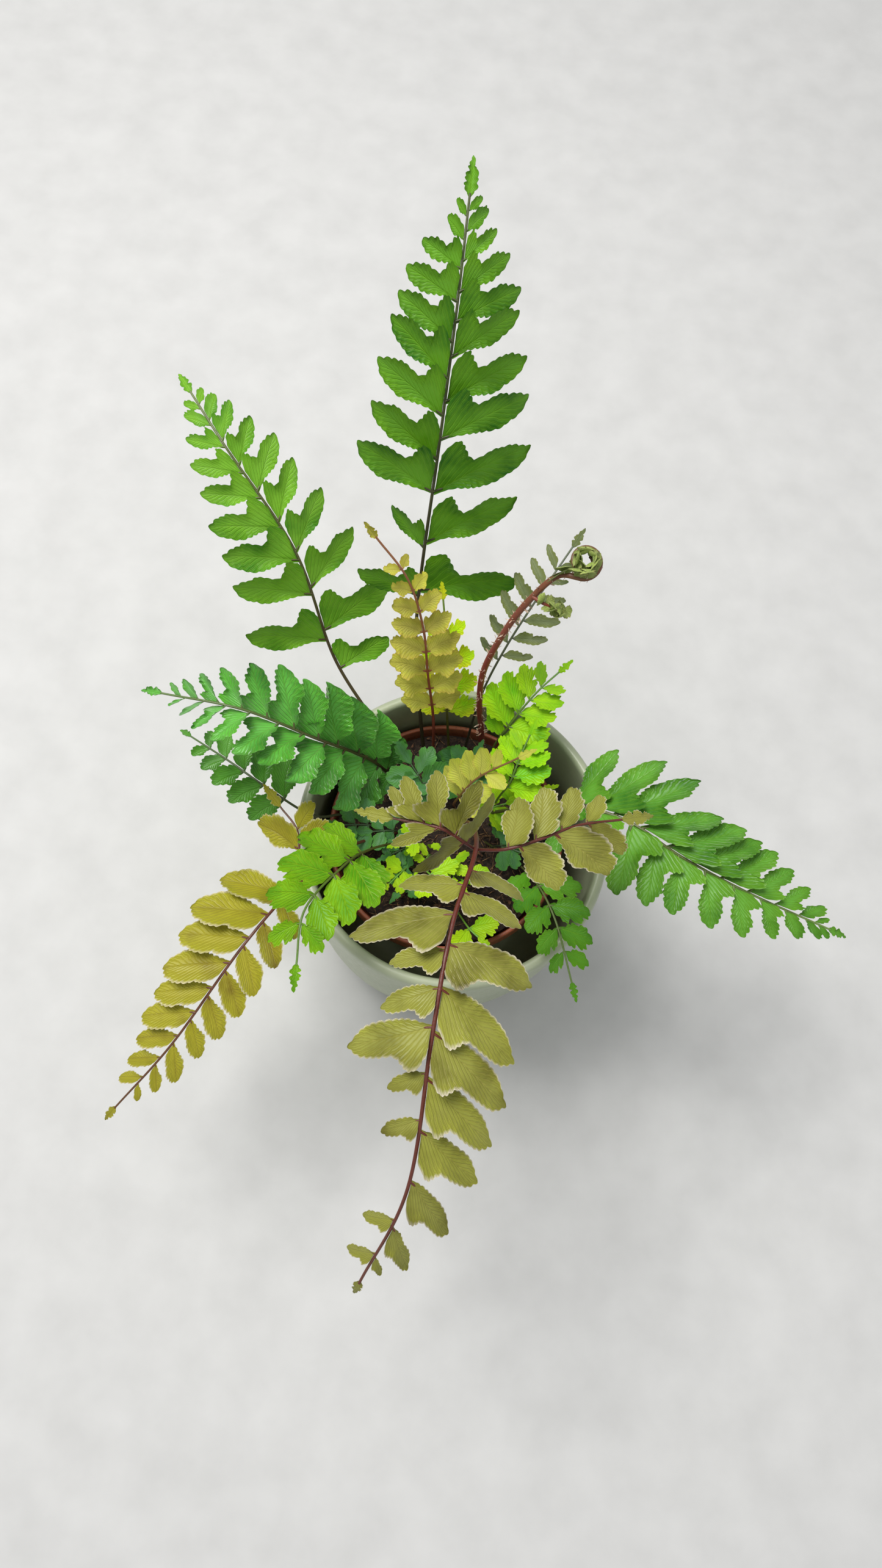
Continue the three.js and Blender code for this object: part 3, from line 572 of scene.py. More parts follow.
def add_leaflet(skin, place, hand, shape, length, look, dice, age):
    """A leaflet: place() puts a point of the flat outline in space, hand is -1 on the left."""
    large, middling = length > LARGE_LEAFLET_MM, length > MIDDLE_LEAFLET_MM
    steps = LEAFLET_STRIPS[0 if large else (1 if middling else 2)]
    rows = 4 if large else 3
    shares = np.linspace(0, 1, steps)
    halves = leaflet_halves(shape, length, look, dice, shares)
    rib_line = smooth_line([(0, 0), shape["rib"], shape["point"]], RIB_CURVE_STEPS)
    rib_share = np.interp(shares, [0, 0.15, 1], [0, 0.04, 1])
    rib = taken(rib_share, np.linspace(0, 1, len(rib_line)), rib_line)
    cup = look.cup * drawn(dice.random(), *CUP_RANGE)
    wave = look.wave * drawn(dice.random(), *WAVE_RANGE)
    phase = dice.random() * 6.283
    shade = dice.random()

    def bend(u, w, s):
        """How far the blade is lifted off its plane: a soft trough at the rib and a waved edge."""
        body = math.sin(math.pi * min(1, u * 0.9 + 0.05))
        ripple = wave * w * w * math.sin(s * WAVE_COUNT + phase) * 0.5
        return length * (cup * (w * w - 0.25) * body + ripple)

    grids = []
    for level in (1, -1):
        grid = []
        for i in range(steps):
            line = []
            for k in range(-rows, rows + 1):
                w = abs(k) / rows
                if grids and (abs(k) == rows or i == steps - 1):
                    line.append(grids[0][i][k + rows])
                elif i == steps - 1 and k > -rows:
                    line.append(line[0])
                else:
                    u, v = drawn(w, rib[i], halves[1 if k > 0 else 0][i])
                    half = BLADE_HALF_MM * (1 - w**3) * min(1, 5 * (1 - shares[i]) + 0.1)
                    spot = place(u, v, bend(u, w, shares[i]) + half * level)
                    vein = (shares[i], 0.5 + 0.5 * k / rows)
                    line.append(skin.point(spot, vein, shade, age, under=level < 0))
            grid.append(line)
        grids.append(grid)
    for i in range(steps - 1):
        for k in range(2 * rows):
            for level, grid in zip((1, -1), grids):
                corners = [grid[i][k], grid[i + 1][k], grid[i + 1][k + 1], grid[i][k + 1]]
                skin.face(corners[::level * hand], BLADE_PART)
    over, under = grids[0][0], grids[1][0]
    for k in range(2 * rows):
        skin.face([over[k], over[k + 1], under[k + 1], under[k]][::hand], BLADE_PART)


def add_stalk(skin, points, radii, look_up, ages, part=STEM_PART, sides=STEM_SIDES,
              groove=STEM_GROOVE):
    """A closed stem along points, with a groove along its upper side."""
    rings = []
    for i, (p, r) in enumerate(zip(points, radii)):
        ahead = unit(points[min(i + 1, len(points) - 1)] - points[max(i - 1, 0)])
        right = unit(np.cross(ahead, look_up[i]))
        up = np.cross(right, ahead)
        ring = []
        for k in range(sides):
            a = FULL_TURN * k / sides
            size = r * (1 - groove * max(0, math.sin(a)) ** 6)
            place = p + size * (math.cos(a) * right + math.sin(a) * up)
            ring.append(skin.point(place, (ages[i], k / sides), 0.5 + 0.5 * math.sin(a), ages[i]))
        rings.append(ring)
    for low, high in zip(rings, rings[1:]):
        for k in range(sides):
            j = (k + 1) % sides
            skin.face([low[k], high[k], high[j], low[j]], part)
    skin.face(rings[0], part)
    skin.face(rings[-1][::-1], part)


def spread_leaves(spray):
    """The leaflets of a spray that gives their lengths: share, side, length and angle of each."""
    leaves = []
    for lengths, side, shift in ((spray.left, -1, 0), (spray.right, 1, spray.stagger)):
        for k, length in enumerate(lengths):
            share = (k + shift) / len(lengths)
            t = drawn(1 - (1 - share) ** spray.ease, *spray.span)
            if length:
                leaves.append((t, side, length, float(np.interp(share, (0, 1), spray.angle))))
    return leaves


def add_spray(skin, spray, look, dice):
    """One spray: its stem, the leaflets on both sides and the leaflet at its end."""
    line = Midline(spray.line)
    stops = np.linspace(0, 1, max(6, int(line.length / STEM_STEP_MM)))
    add_stalk(
        skin, [line.at(t) for t in stops], [drawn(t, *spray.stem) * look.stem_width for t in stops],
        [line.axes(spray.face, t)[3] for t in stops], stops)
    for t, side, length, angle in spray.leaves or spread_leaves(spray):
        origin, tangent, right, up = line.axes(spray.face, t)
        away = right * side
        lean = math.radians(angle + drawn(dice.random(), *LEAN_DEGREES))
        rise = math.radians(spray.rise + drawn(dice.random(), *RISE_DEGREES))
        tilt = math.radians(spray.twist + drawn(dice.random(), *TWIST_DEGREES))
        level = math.cos(lean) * tangent + math.sin(lean) * away
        out = math.cos(rise) * level + math.sin(rise) * up
        across = math.cos(tilt) * tangent + math.sin(tilt) * up
        foot = origin + away * (0.85 * drawn(t, *spray.stem) * look.stem_width + 0.1)

        def place(u, v, lift):
            drop = spray.hang * length * (u * u + v * v / 3)
            return foot + out * u * length + across * v * length + up * (lift - drop)

        small = spray.outline == "eared" and length < EARED_FROM_MM
        shape = LEAFLETS["round" if small else spray.outline]
        add_leaflet(skin, place, side, shape, length, look, dice, t)
        neck = [drawn(s, origin, place(NECK_REACH, 0.0, 0)) for s in NECK_STOPS]
        width = max(NECK_MM[0], min(NECK_MM[1], 0.016 * length + 0.12))
        add_stalk(
            skin, neck, [width * share for share in NECK_WIDTHS], [up] * len(neck),
            [t] * len(neck), sides=NECK_SIDES, groove=NECK_GROOVE)
    origin, tangent, right, up = line.axes(spray.face, STEM_END)
    size = spray.tip

    def tip_place(u, v, lift):
        lifted = up * (lift - spray.hang * size * u * u)
        return origin + tangent * u * size - right * v * size + lifted

    add_leaflet(skin, tip_place, 1, LEAFLETS["end"], size, look, dice, 1)


def tone(text):
    """A colour written as six hexadecimal digits, as linear light."""
    parts = [int(text[k:k + 2], 16) / 255 for k in (0, 2, 4)]
    return tuple(c / 12.92 if c <= 0.04045 else ((c + 0.055) / 1.055) ** 2.4 for c in parts)


def leaf_paint(name, look):
    """Leaf skin: mottled between two tones, with forked veins, its own edge and a painted sheen
    inside.
    """
    paint = Paint(name)
    times, plus, minus, between = paint.times, paint.plus, paint.minus, paint.between
    drift = paint.noise(260.0, 3.0)
    cloud = paint.noise(75.0, 4.0)
    strips = paint.add("SeparateXYZ", Vector=paint.add("UVMap", {"uv_map": "veins"}).outputs[0])
    out = paint.math("ABSOLUTE", minus(times(strips.outputs[1], 2.0), 1.0))
    along = minus(strips.outputs[0], times(paint.math("POWER", out, 0.8), 0.3))
    along = plus(along, times(drift, 0.03))
    lines = []
    for count in (look.vein_count, 2 * look.vein_count):
        wave = paint.math("PINGPONG", times(along, float(count)), 0.5)
        lines.append(between(wave, 0.5, 0.3, 1.0, 0.0))
    vein = paint.math("MAXIMUM", lines[0], times(lines[1], between(out, 0.35, 0.5)))
    rib = between(out, RIB_HALF_WIDTH, 0.0)
    rim = times(minus(out, 0.6), look.rim)
    light = plus(between(cloud, 0.3, 0.7, 0.15, 0.85), times(paint.own("shade"), 0.35))
    light = plus(plus(light, rim), times(paint.own("age"), look.younger))
    colour = paint.ramp(light, (0.3, tone(look.dark)), (1.05, tone(look.light)))
    # painted sheen: the middle of each blade is tinted paler, where a glossy leaf catches the light
    painted_sheen = times(between(out, 0.95, 0.35), between(cloud, 0.35, 0.6, 0.3))
    edge = times(between(out, look.edge_from, 1.0), between(cloud, 0.35, 0.55, 0.4))
    for share, over in (
        (times(painted_sheen, look.painted_sheen_share), look.painted_sheen), (times(vein, look.vein_share), look.vein),
        (times(rib, 0.3), look.vein), (times(edge, look.edge_share), look.edge),
        (times(paint.own("under"), UNDER_SHARE), look.under),
    ):
        colour = paint.mix(share, colour, tone(over))
    relief = minus(minus(times(drift, 0.3), times(vein, 0.8)), rib)
    bump = paint.bump(relief, 0.6, look.vein_relief)
    skin = paint.add(
        "BsdfPrincipled", Base_Color=colour, Roughness=plus(times(drift, 0.25), look.rough),
        Normal=bump, Sheen_Weight=look.sheen, Sheen_Roughness=0.4, Specular_IOR_Level=look.gloss)
    through = paint.add("BsdfTranslucent", Color=colour, Normal=bump)
    return paint.finish(
        paint.add("MixShader", i0=SEEN_THROUGH, i1=skin.outputs[0], i2=through.outputs[0]))


def stem_paint(name, look):
    """Stem skin: brown at the base, its own tone at the tip, paler in the groove, fine ridges."""
    paint = Paint(name)
    base, middle, tip = (tone(text) for text in look.stem)
    grain = paint.noise(900.0, 4.0)
    place = paint.times(paint.minus(paint.noise(120.0, 2.0), 0.5), 0.3)
    place = paint.plus(paint.own("age"), place)
    colour = paint.ramp(place, (0.0, base), (0.45, middle), (1.0, tip))
    colour = paint.mix(paint.times(paint.own("shade"), 0.25), colour, tip)
    colour = paint.mix(paint.times(grain, 0.4), colour, base)
    return paint.surface(Base_Color=colour, Roughness=0.42, Normal=paint.bump(grain, 0.4, 0.0003))


def add_frond(name, slot, seed, look, *sprays, has_plain=True):
    """A whole frond from its sprays, in place of its plain one where it has one."""
    dice = random.Random(seed)
    skin = Skin()
    for spray in sprays:
        add_spray(skin, spray, look, dice)
    piece = skin.piece(name + "_leaves", look, name)
    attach(piece, "root")
    if has_plain:
        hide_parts(name)


# --- Tall frond ---------------------------------------------------------------------------------
# Upright at the back, mid green, the largest leaflets of all, with an ear at each base and a
# dark brown stem.
add_frond("frond_tall", "green_leaf", 1, Look(
    dark="2d7502", light="74b509", vein="8ccc22", edge="3e8b11", under="759f24", painted_sheen="78bd49",
    stem=("241210", "3a2420", "5f6a40"), painted_sheen_share=0.35, rim=-0.5, vein_relief=0.0003, teeth=1.1,
    cup=0.07,
), Spray(
    line=[
        (-18, 43, 80), (-24, 56, 118), (-30, 76, 150), (-31, 91, 180), (-30, 118, 231),
        (-30, 149, 273), (-31, 175.5, 295),
    ],
    face=((0.1, -0.8, 0.6), (0.15, -0.5, 0.85)), stem=(1.5, 0.7), outline="eared",
    leaves=[
        (0.397, -1, 28, 70), (0.408, 1, 41, 82), (0.489, -1, 22, 44), (0.5, 1, 41, 55),
        (0.589, -1, 35, 60), (0.589, 1, 41, 57), (0.643, -1, 33, 55), (0.674, 1, 36, 60),
        (0.71, -1, 31, 57), (0.73, 1, 33, 54), (0.763, -1, 29, 52), (0.793, 1, 28, 54),
        (0.813, -1, 25, 56), (0.84, 1, 25, 60), (0.866, -1, 21, 64), (0.878, 1, 21, 52),
        (0.907, -1, 16, 64), (0.917, 1, 15, 46), (0.943, -1, 9, 48), (0.954, 1, 10, 46),
        (0.972, -1, 6, 44), (0.979, 1, 6, 44),
    ],
    rise=3, hang=0.08, twist=12, tip=12,
))


# --- Upper left frond ---------------------------------------------------------------------------
# Lighter green, leaning to the upper left, with eared leaflets and a red-brown stem.
add_frond("frond_upper_left", "green_leaf", 2, Look(
    dark="40910b", light="87cb21", vein="92c838", edge="5a9e27", under="7c9b35", painted_sheen="90cb56",
    stem=("2a1512", "4a211a", "6d7f42"), rim=-0.4, vein_relief=0.0003, teeth=0.9, cup=0.07,
), Spray(
    line=[
        (-24, 34, 80), (-41, 43, 120), (-63, 61, 146), (-83, 87, 190), (-114, 113, 217),
        (-132, 133.5, 220),
    ],
    face=((0.5, -0.7, 0.6), (0.1, -0.3, 0.95)), stem=(1.4, 0.7), outline="eared",
    leaves=[
        (0.371, 1, 25, 86), (0.443, -1, 35, 64), (0.464, 1, 34, 74), (0.55, -1, 33, 62),
        (0.564, 1, 30, 54), (0.625, -1, 31, 64), (0.642, 1, 27, 50), (0.695, -1, 28, 57),
        (0.707, 1, 25, 50), (0.76, -1, 23, 55), (0.773, 1, 23, 53), (0.814, -1, 20, 51),
        (0.829, 1, 19, 51), (0.869, -1, 15, 47), (0.881, 1, 16, 45), (0.917, -1, 11, 42),
        (0.928, 1, 11, 42), (0.957, -1, 7, 40), (0.967, 1, 7, 40),
    ],
    hang=0.1, twist=12, tip=10,
))


# --- Left frond ---------------------------------------------------------------------------------
# Deep green with a bluish sheen, its leaflets close together like slats and folded upwards.
add_frond("frond_left", "green_leaf", 3, Look(
    dark="267f12", light="68ce2b", vein="92d155", edge="a8e77a", under="719c42", painted_sheen="79c177",
    stem=("2a1512", "4a2c1e", "5f7d3a"), rim=-0.4, vein_relief=0.0006, rough=0.24, gloss=0.8,
    sheen=0.2, teeth=1.2, cup=0.14, wave=0.1,
), Spray(
    line=[
        (-24, 28, 80), (-39, 26, 120), (-48, 23, 138), (-62, 17, 164), (-91, 17, 184),
        (-125, 20, 180),
    ],
    face=((0.8, -0.5, 0.5), (0, -0.1, 1)), stem=(1.3, 0.7), outline="eared",
    leaves=[
        (0.17, -1, 15, 88), (0.19, 1, 20, 52), (0.25, -1, 21, 88), (0.273, 1, 32, 40),
        (0.333, -1, 29, 64), (0.367, 1, 36, 38), (0.443, -1, 31, 44), (0.482, 1, 34, 44),
        (0.538, -1, 28, 45), (0.567, 1, 28, 47), (0.619, -1, 25, 49), (0.647, 1, 27, 51),
        (0.692, -1, 23, 51), (0.723, 1, 23, 51), (0.769, -1, 19, 53), (0.787, 1, 18, 47),
        (0.828, -1, 16, 50), (0.847, 1, 14, 44), (0.884, -1, 11, 46), (0.9, 1, 10, 44),
        (0.935, -1, 7, 42), (0.947, 1, 7, 42),
    ],
    rise=14, hang=0.12, twist=-30, tip=9,
))


# --- Low left frond -----------------------------------------------------------------------------
# Darker and smaller, under the left one.
add_frond("frond_left_low", "green_leaf", 4, Look(
    dark="297209", light="5cb116", vein="75b136", edge="90c658", under="6a922e", painted_sheen="78b060",
    stem=("2a1512", "3c2c1e", "5a7a42"), painted_sheen_share=0.35, rim=-0.4, vein_relief=0.0005, rough=0.26,
    gloss=0.7, sheen=0.12, teeth=1.2, cup=0.12,
), Spray(
    line=[
        (-24, 19, 80), (-51, 1, 116), (-62, -5, 128), (-85, 3, 135), (-101, 11, 135),
        (-122, 22, 129),
    ],
    stem=(1.2, 0.65), outline="round", span=(0.52, 0.97), ease=1.1, left=[0, 17, 16, 14, 11, 8],
    right=[0, 18, 17, 15, 12, 8], angle=(70, 55), rise=8, hang=0.1, twist=15, tip=7,
))


# --- Bronze frond at the lower left -------------------------------------------------------------
# Olive yellow with pale toothed edges, hanging out over the rim, with one low side spray.
add_frond("frond_bronze_left", "bronze_leaf", 5, Look(
    dark="6a4e0e", light="b8b622", vein="b8aa48", edge="f2e6c8", under="a6a244", painted_sheen="a8943a",
    stem=("3a1712", "6b2f25", "6a4a2c"), younger=0.5, edge_from=0.84, edge_share=0.8, vein_count=13,
    vein_share=0.32, vein_relief=0.0004, teeth=1, tooth_count=12,
), Spray(
    line=[
        (-20, 10, 80), (-47, -18, 126), (-63, -43, 144), (-76, -68, 150), (-99, -110, 134),
        (-120, -137, 114),
    ],
    face=((0.4, 0.3, 0.8), (0.2, 0.2, 1)), stem=(1.3, 0.65), outline="lobed", span=(0.473, 0.98),
    stagger=-0.3, left=[16, 18, 19, 18, 17, 15, 15, 11, 7],
    right=[26, 29, 26, 25, 22, 21, 17, 14, 11], angle=(62, 38), hang=0.15, tip=9,
), Spray(
    line=[(-60, -38, 141), (-62, -30, 144), (-65, -18, 147), (-74, -9, 147)], stem=(0.8, 0.65),
    outline="round", span=(0.4, 0.95), stagger=0.3, left=[20, 0], right=[15, 13, 0], angle=(60, 50),
    hang=0.1, twist=12, tip=12,
))


# --- Lime frond at the front --------------------------------------------------------------------
# Bright young leaflets, fan-shaped and deeply toothed.
LIME_LEAF = dict(
    painted_sheen_share=0.1, rim=0.2, vein_count=10, vein_relief=0.0005, gloss=0.3, tooth_count=9,
    lobes=1.3,
)
add_frond("frond_lime_front", "lime_leaf", 6, Look(
    dark="429401", light="87c605", vein="b7df26", edge="cce454", under="9ec42b", painted_sheen="a4d249",
    stem=("3a1a14", "4d2e1b", "5f8e2c"), teeth=1.6, **LIME_LEAF,
), Spray(
    line=[(-14, 6, 80), (-35, -18, 134), (-43, -34, 160), (-53, -57, 174), (-52, -77, 173)],
    face=((0.7, 0.6, 0.5), (0, 0, 1)), stem=(1.1, 0.65), outline="fan", span=(0.5, 0.97), ease=1.1,
    left=[20, 24, 22, 18, 13], right=[20, 24, 22, 18, 13], angle=(62, 50), hang=0.08, twist=-25,
    tip=10,
))


# --- Long bronze frond at the front -------------------------------------------------------------
# Olive bronze leaflets with pale pinkish edges on a grooved red-brown stem that hangs far out
# to the front, with two low side sprays over the crown.
add_frond("frond_bronze_front", "bronze_leaf", 7, Look(
    dark="4e4808", light="a6aa38", vein="b8b058", edge="fbeee4", under="a9a14e", painted_sheen="94925a",
    stem=("3f1410", "66231b", "6a3a2a"), painted_sheen_share=0.35, rim=-0.1, younger=0.3, edge_from=0.87,
    edge_share=0.65, vein_count=13, vein_share=0.34, vein_relief=0.0004, teeth=0.9, tooth_count=12,
    wave=0.04, stem_width=0.72,
), Spray(
    line=[
        (-5, 12, 80), (5, -14, 180), (7, -32, 208), (2, -64, 224), (1, -100, 222), (1, -148, 200),
        (-10, -182, 165),
    ],
    face=((0, 0.9, 0.4), (0, 0, 1)), stem=(1.7, 0.7), outline="sickle",
    leaves=[
        (0.475, -1, 20, 90), (0.5, 1, 22, 90), (0.51, -1, 22, 86), (0.54, 1, 34, 72),
        (0.575, -1, 30, 84), (0.582, 1, 18, 74), (0.622, -1, 32, 62), (0.622, 1, 19, 68),
        (0.668, -1, 32, 58), (0.662, 1, 28, 74), (0.716, -1, 30, 53), (0.71, 1, 13, 66),
        (0.772, -1, 26, 56), (0.76, 1, 13, 66), (0.83, -1, 24, 46), (0.885, 1, 12, 58),
        (0.895, -1, 20, 34), (0.945, 1, 12, 50), (0.95, -1, 9, 34),
    ],
    rise=-4, hang=0.2, twist=13, tip=9,
), Spray(
    line=[(7, -31, 206), (0, -30, 213), (-6, -28, 215), (-24, -26, 212)],
    face=((0, -0.2, 1), (0, -0.2, 1)), stem=(0.9, 0.65), outline="eared",
    leaves=[
        (0.16, 1, 20, 84), (0.2, -1, 24, 46), (0.33, 1, 21, 76), (0.5, 1, 20, 66),
        (0.52, -1, 17, 40), (0.67, 1, 18, 57), (0.82, 1, 14, 50),
    ],
    rise=8, twist=20, tip=14,
), Spray(
    line=[(7, -31, 206), (17, -32, 216), (28, -27, 217), (41, -19, 215), (58, -12, 209)],
    face=((0, -0.2, 1), (0, -0.2, 1)), stem=(0.9, 0.65), outline="round", span=(0.25, 0.92),
    stagger=0.3, left=[18, 19, 16, 12], right=[20, 24, 17], angle=(66, 45), hang=0.08, tip=14,
))


# --- Right frond --------------------------------------------------------------------------------
# Long and green, arching out to the right, with close toothed leaflets.
add_frond("frond_right", "green_leaf", 8, Look(
    dark="2a7105", light="68a916", vein="87c337", edge="9cd161", under="749738", painted_sheen="6db854",
    stem=("2a1512", "4a2f1c", "7a9a4a"), painted_sheen_share=0.35, rim=-0.2, vein_relief=0.0004, rough=0.28,
    gloss=0.45, teeth=1.2, tooth_count=11, lobes=1.2, cup=0.07,
), Spray(
    line=[
        (2, 20, 80), (22, 9, 136), (36, 8, 158), (65, 0, 174), (88, -12, 176), (116, -21, 172),
        (154, -28, 161),
    ],
    face=((-0.6, 0, 0.7), (0.1, -0.1, 1)), stem=(1.5, 0.65), outline="eared",
    leaves=[
        (0.44, 1, 24, 86), (0.453, -1, 28, 64), (0.495, -1, 34, 50), (0.509, 1, 24, 80),
        (0.54, -1, 35, 43), (0.575, 1, 29, 74), (0.594, -1, 31, 44), (0.626, 1, 26, 66),
        (0.652, -1, 31, 49), (0.676, 1, 23, 66), (0.706, -1, 28, 47), (0.73, 1, 22, 60),
        (0.763, -1, 25, 50), (0.789, 1, 20, 56), (0.819, -1, 21, 48), (0.846, 1, 16, 50),
        (0.877, -1, 17, 44), (0.9, 1, 12, 44), (0.93, -1, 12, 40), (0.946, 1, 9, 38),
        (0.966, -1, 6, 38), (0.975, 1, 6, 38),
    ],
    rise=8, hang=0.12, twist=12, tip=9,
))


# --- Low right frond ----------------------------------------------------------------------------
# Short, green, near the front rim.
add_frond("frond_right_low", "green_leaf", 9, Look(
    dark="297902", light="63ab09", vein="97d52b", edge="afdf4f", under="7ea82a", painted_sheen="67ae41",
    stem=("2a1512", "3f301c", "6a8a3c"), rim=-0.1, vein_relief=0.0004, teeth=1.3, tooth_count=9,
    lobes=1.3,
), Spray(
    line=[(8, 13, 80), (31, -8, 112), (40, -20, 125), (48, -35, 131), (58, -60, 130)],
    outline="fan", span=(0.48, 0.96), ease=1.1, left=[16, 18, 17, 15, 11],
    right=[15, 16, 15, 13, 10], rise=5, hang=0.1, twist=-12, tip=8,
))


# --- Yellow-bronze frond ------------------------------------------------------------------------
# Upright young frond before the tall one, straw yellow with pinkish tips.
add_frond("frond_bronze_upright", "bronze_leaf", 10, Look(
    dark="a8a030", light="f2f84b", vein="f9f271", edge="c08258", under="ded553", painted_sheen="ccba70",
    stem=("5a1a18", "8c3028", "b07850"), painted_sheen_share=0.45, edge_from=0.6, edge_share=0.5,
    vein_share=0.3, vein_relief=0.0004, teeth=1, cup=0.1, wave=0.08,
), Spray(
    line=[
        (-14, 39, 80), (-17, 49, 126), (-22, 56, 160), (-26, 63, 187), (-34, 69, 214),
        (-47, 73, 234),
    ],
    face=((0, -0.8, 0.6), (0.2, -0.6, 0.8)), stem=(1.2, 0.65), outline="round", span=(0.36, 0.96),
    left=[14, 16, 17, 16, 14, 12, 9, 7], right=[14, 16, 17, 16, 14, 12, 9, 6], twist=-35, tip=8,
))


# --- Small upright lime frond -------------------------------------------------------------------
# Yellow-green, behind the yellow-bronze one.
add_frond("frond_lime_upright", "lime_leaf", 11, Look(
    dark="b5ff06", light="fdff1c", vein="fcff4b", edge="ffff76", under="d8ff3f", painted_sheen="b1ec52",
    stem=("3a1a14", "5a4a22", "83a83a"), teeth=1.6, **LIME_LEAF,
), Spray(
    line=[(-6, 44, 80), (-13, 58, 138), (-16, 68, 167), (-20, 78, 186)],
    face=((0, -0.8, 0.6), (0, -0.6, 0.8)), stem=(1.1, 0.65), outline="fan", span=(0.42, 0.95),
    ease=1.1, left=[13, 14, 13, 10], right=[14, 15, 13, 10], twist=-35, tip=8,
))


# --- Lime frond at the right --------------------------------------------------------------------
# Vivid young leaflets with fine fans.
add_frond("frond_lime_right", "lime_leaf", 12, Look(
    dark="66c501", light="b7ef06", vein="bfec2e", edge="ceef59", under="a3d22d", painted_sheen="a5d249",
    stem=("3a1a14", "4a3a1e", "649c2c"), teeth=1.6, **LIME_LEAF,
), Spray(
    line=[(12, 35, 80), (12, 42, 122), (16, 45, 140), (21, 52, 148), (27, 60, 153), (34, 68, 156)],
    face=((-0.5, -0.7, 0.5), (0, -0.2, 1)), outline="fan", span=(0.57, 0.96), ease=1.1,
    left=[11, 20, 18, 15, 11], right=[18, 19, 16, 14, 10], angle=(64, 50), rise=5, hang=0.08,
    twist=-36, tip=8,
))


# --- Low lime frond -----------------------------------------------------------------------------
# Beside it and lower, over the middle of the pot.
add_frond("frond_lime_low", "lime_leaf", 13, Look(
    dark="6dcc01", light="c4ff04", vein="c9f726", edge="dbfe4d", under="acda29", painted_sheen="abd849",
    stem=("3a1a14", "4a3a1e", "5c922c"), teeth=1.6, **LIME_LEAF,
), Spray(
    line=[(18, 28, 80), (16, 16, 116), (17, 15, 134), (20, 18, 146), (22, 26, 152), (25, 37, 156)],
    face=((0, -0.9, 0.3), (0, -0.3, 1)), outline="fan", span=(0.72, 0.97), ease=1.1,
    left=[13, 14, 13, 10], right=[16, 16, 14, 11], angle=(64, 50), rise=5, hang=0.08, twist=-38,
    tip=8,
))


# --- Small bronze frond -------------------------------------------------------------------------
# Pale olive leaflets, folded, near the middle.
add_frond("frond_bronze_small", "bronze_leaf", 14, Look(
    dark="aab72c", light="e5f146", vein="eaef70", edge="c89468", under="cece50", painted_sheen="ccb878",
    stem=("4a1d16", "6a3a26", "8a6a3c"), painted_sheen_share=0.35, edge_from=0.7, edge_share=0.45,
    vein_share=0.3, vein_relief=0.0004, teeth=0.5,
), Spray(
    line=[(-1, 24, 80), (-1, 9, 140), (6, 12, 163), (20, 17, 179)],
    face=((-0.5, -0.7, 0.5), (-0.3, -0.3, 1)), outline="round", span=(0.6, 0.95),
    left=[15, 15, 14, 12, 8], right=[13, 13, 11], angle=(64, 50), twist=-40, tip=9,
))


# --- Grey-green frond ---------------------------------------------------------------------------
# Narrow grey-green leaflets with a strong painted sheen inside them, behind the coiled frond.
add_frond("frond_grey_back", "green_leaf", 15, Look(
    dark="485822", light="828c43", vein="8fa158", edge="9fac88", under="808b4f", painted_sheen="87957a",
    stem=("2a2018", "3f3a30", "5c6a4c"), painted_sheen_share=0.5, sheen=0.2,
), Spray(
    line=[(-1, 48, 80), (3, 58, 148), (9, 68, 172), (16, 79, 188), (29, 104, 199)],
    face=((0, -0.5, 0.85), (0, -0.3, 1)), outline="narrow", span=(0.6, 0.97), ease=1.1, stagger=0.3,
    left=[12, 14, 16, 15, 13, 11], right=[13, 15, 15, 12, 8, 6], angle=(64, 52), hang=0.1, twist=-5,
    tip=9,
))


# --- Dark low frond -----------------------------------------------------------------------------
# Three pairs of dark leaflets close to the soil.
DARK_LOW_LOOK = Look(
    dark="216318", light="55a530", vein="70ae51", edge="7fbb7c", under="6d974a", painted_sheen="5e906f",
    stem=("2a1512", "33281c", "3c6238"), painted_sheen_share=0.5, gloss=0.55, sheen=0.15,
)
add_frond("frond_dark_low", "green_leaf", 16, DARK_LOW_LOOK, Spray(
    line=[(-6, 33, 80), (-1, 30, 104), (2, 31, 115), (4, 35, 123)],
    face=((0, -0.9, 0.3), (0, -0.3, 1)), stem=(0.9, 0.65), outline="round", span=(0.6, 0.95),
    left=[19, 18, 14], right=[14, 13, 10], angle=(66, 52), twist=-45, tip=11,
))


# --- Sprigs -------------------------------------------------------------------------------------
# Four tiny fans near the soil, three bright and one teal.
SPRIG_LOOK = Look(
    dark="78c502", light="c9f50f", vein="dbfc30", edge="e5fe55", under="c0e22f", painted_sheen="abd849",
    stem=("3a2a18", "5a6a28", "74b43c"), teeth=1.3, **LIME_LEAF,
)
for name, seed, line, start, left, twist in (
    ("sprig_left", 17, [(-10, 0, 80), (-12, -10, 100), (-8, -19, 114), (-2, -22, 118)],
     0.86, 13, -30),
    ("sprig_middle", 18, [(-2, -8, 80), (3, -14, 100), (8, -20, 114), (11, -21, 118)],
     0.86, 12, -40),
    ("sprig_front", 19, [(4, -22, 80), (9, -32, 97), (14, -39, 104), (18, -42, 105)],
     0.84, 13, -30),
):
    add_frond(name, "lime_leaf", seed, SPRIG_LOOK, Spray(
        line=line, face=((0, 0.9, 0.3), (0, 0, 1)), stem=(0.8, 0.65), outline="fan",
        span=(start, 0.95), left=[left], right=[13], angle=(66, 52), rise=5, twist=twist, tip=9,
    ))
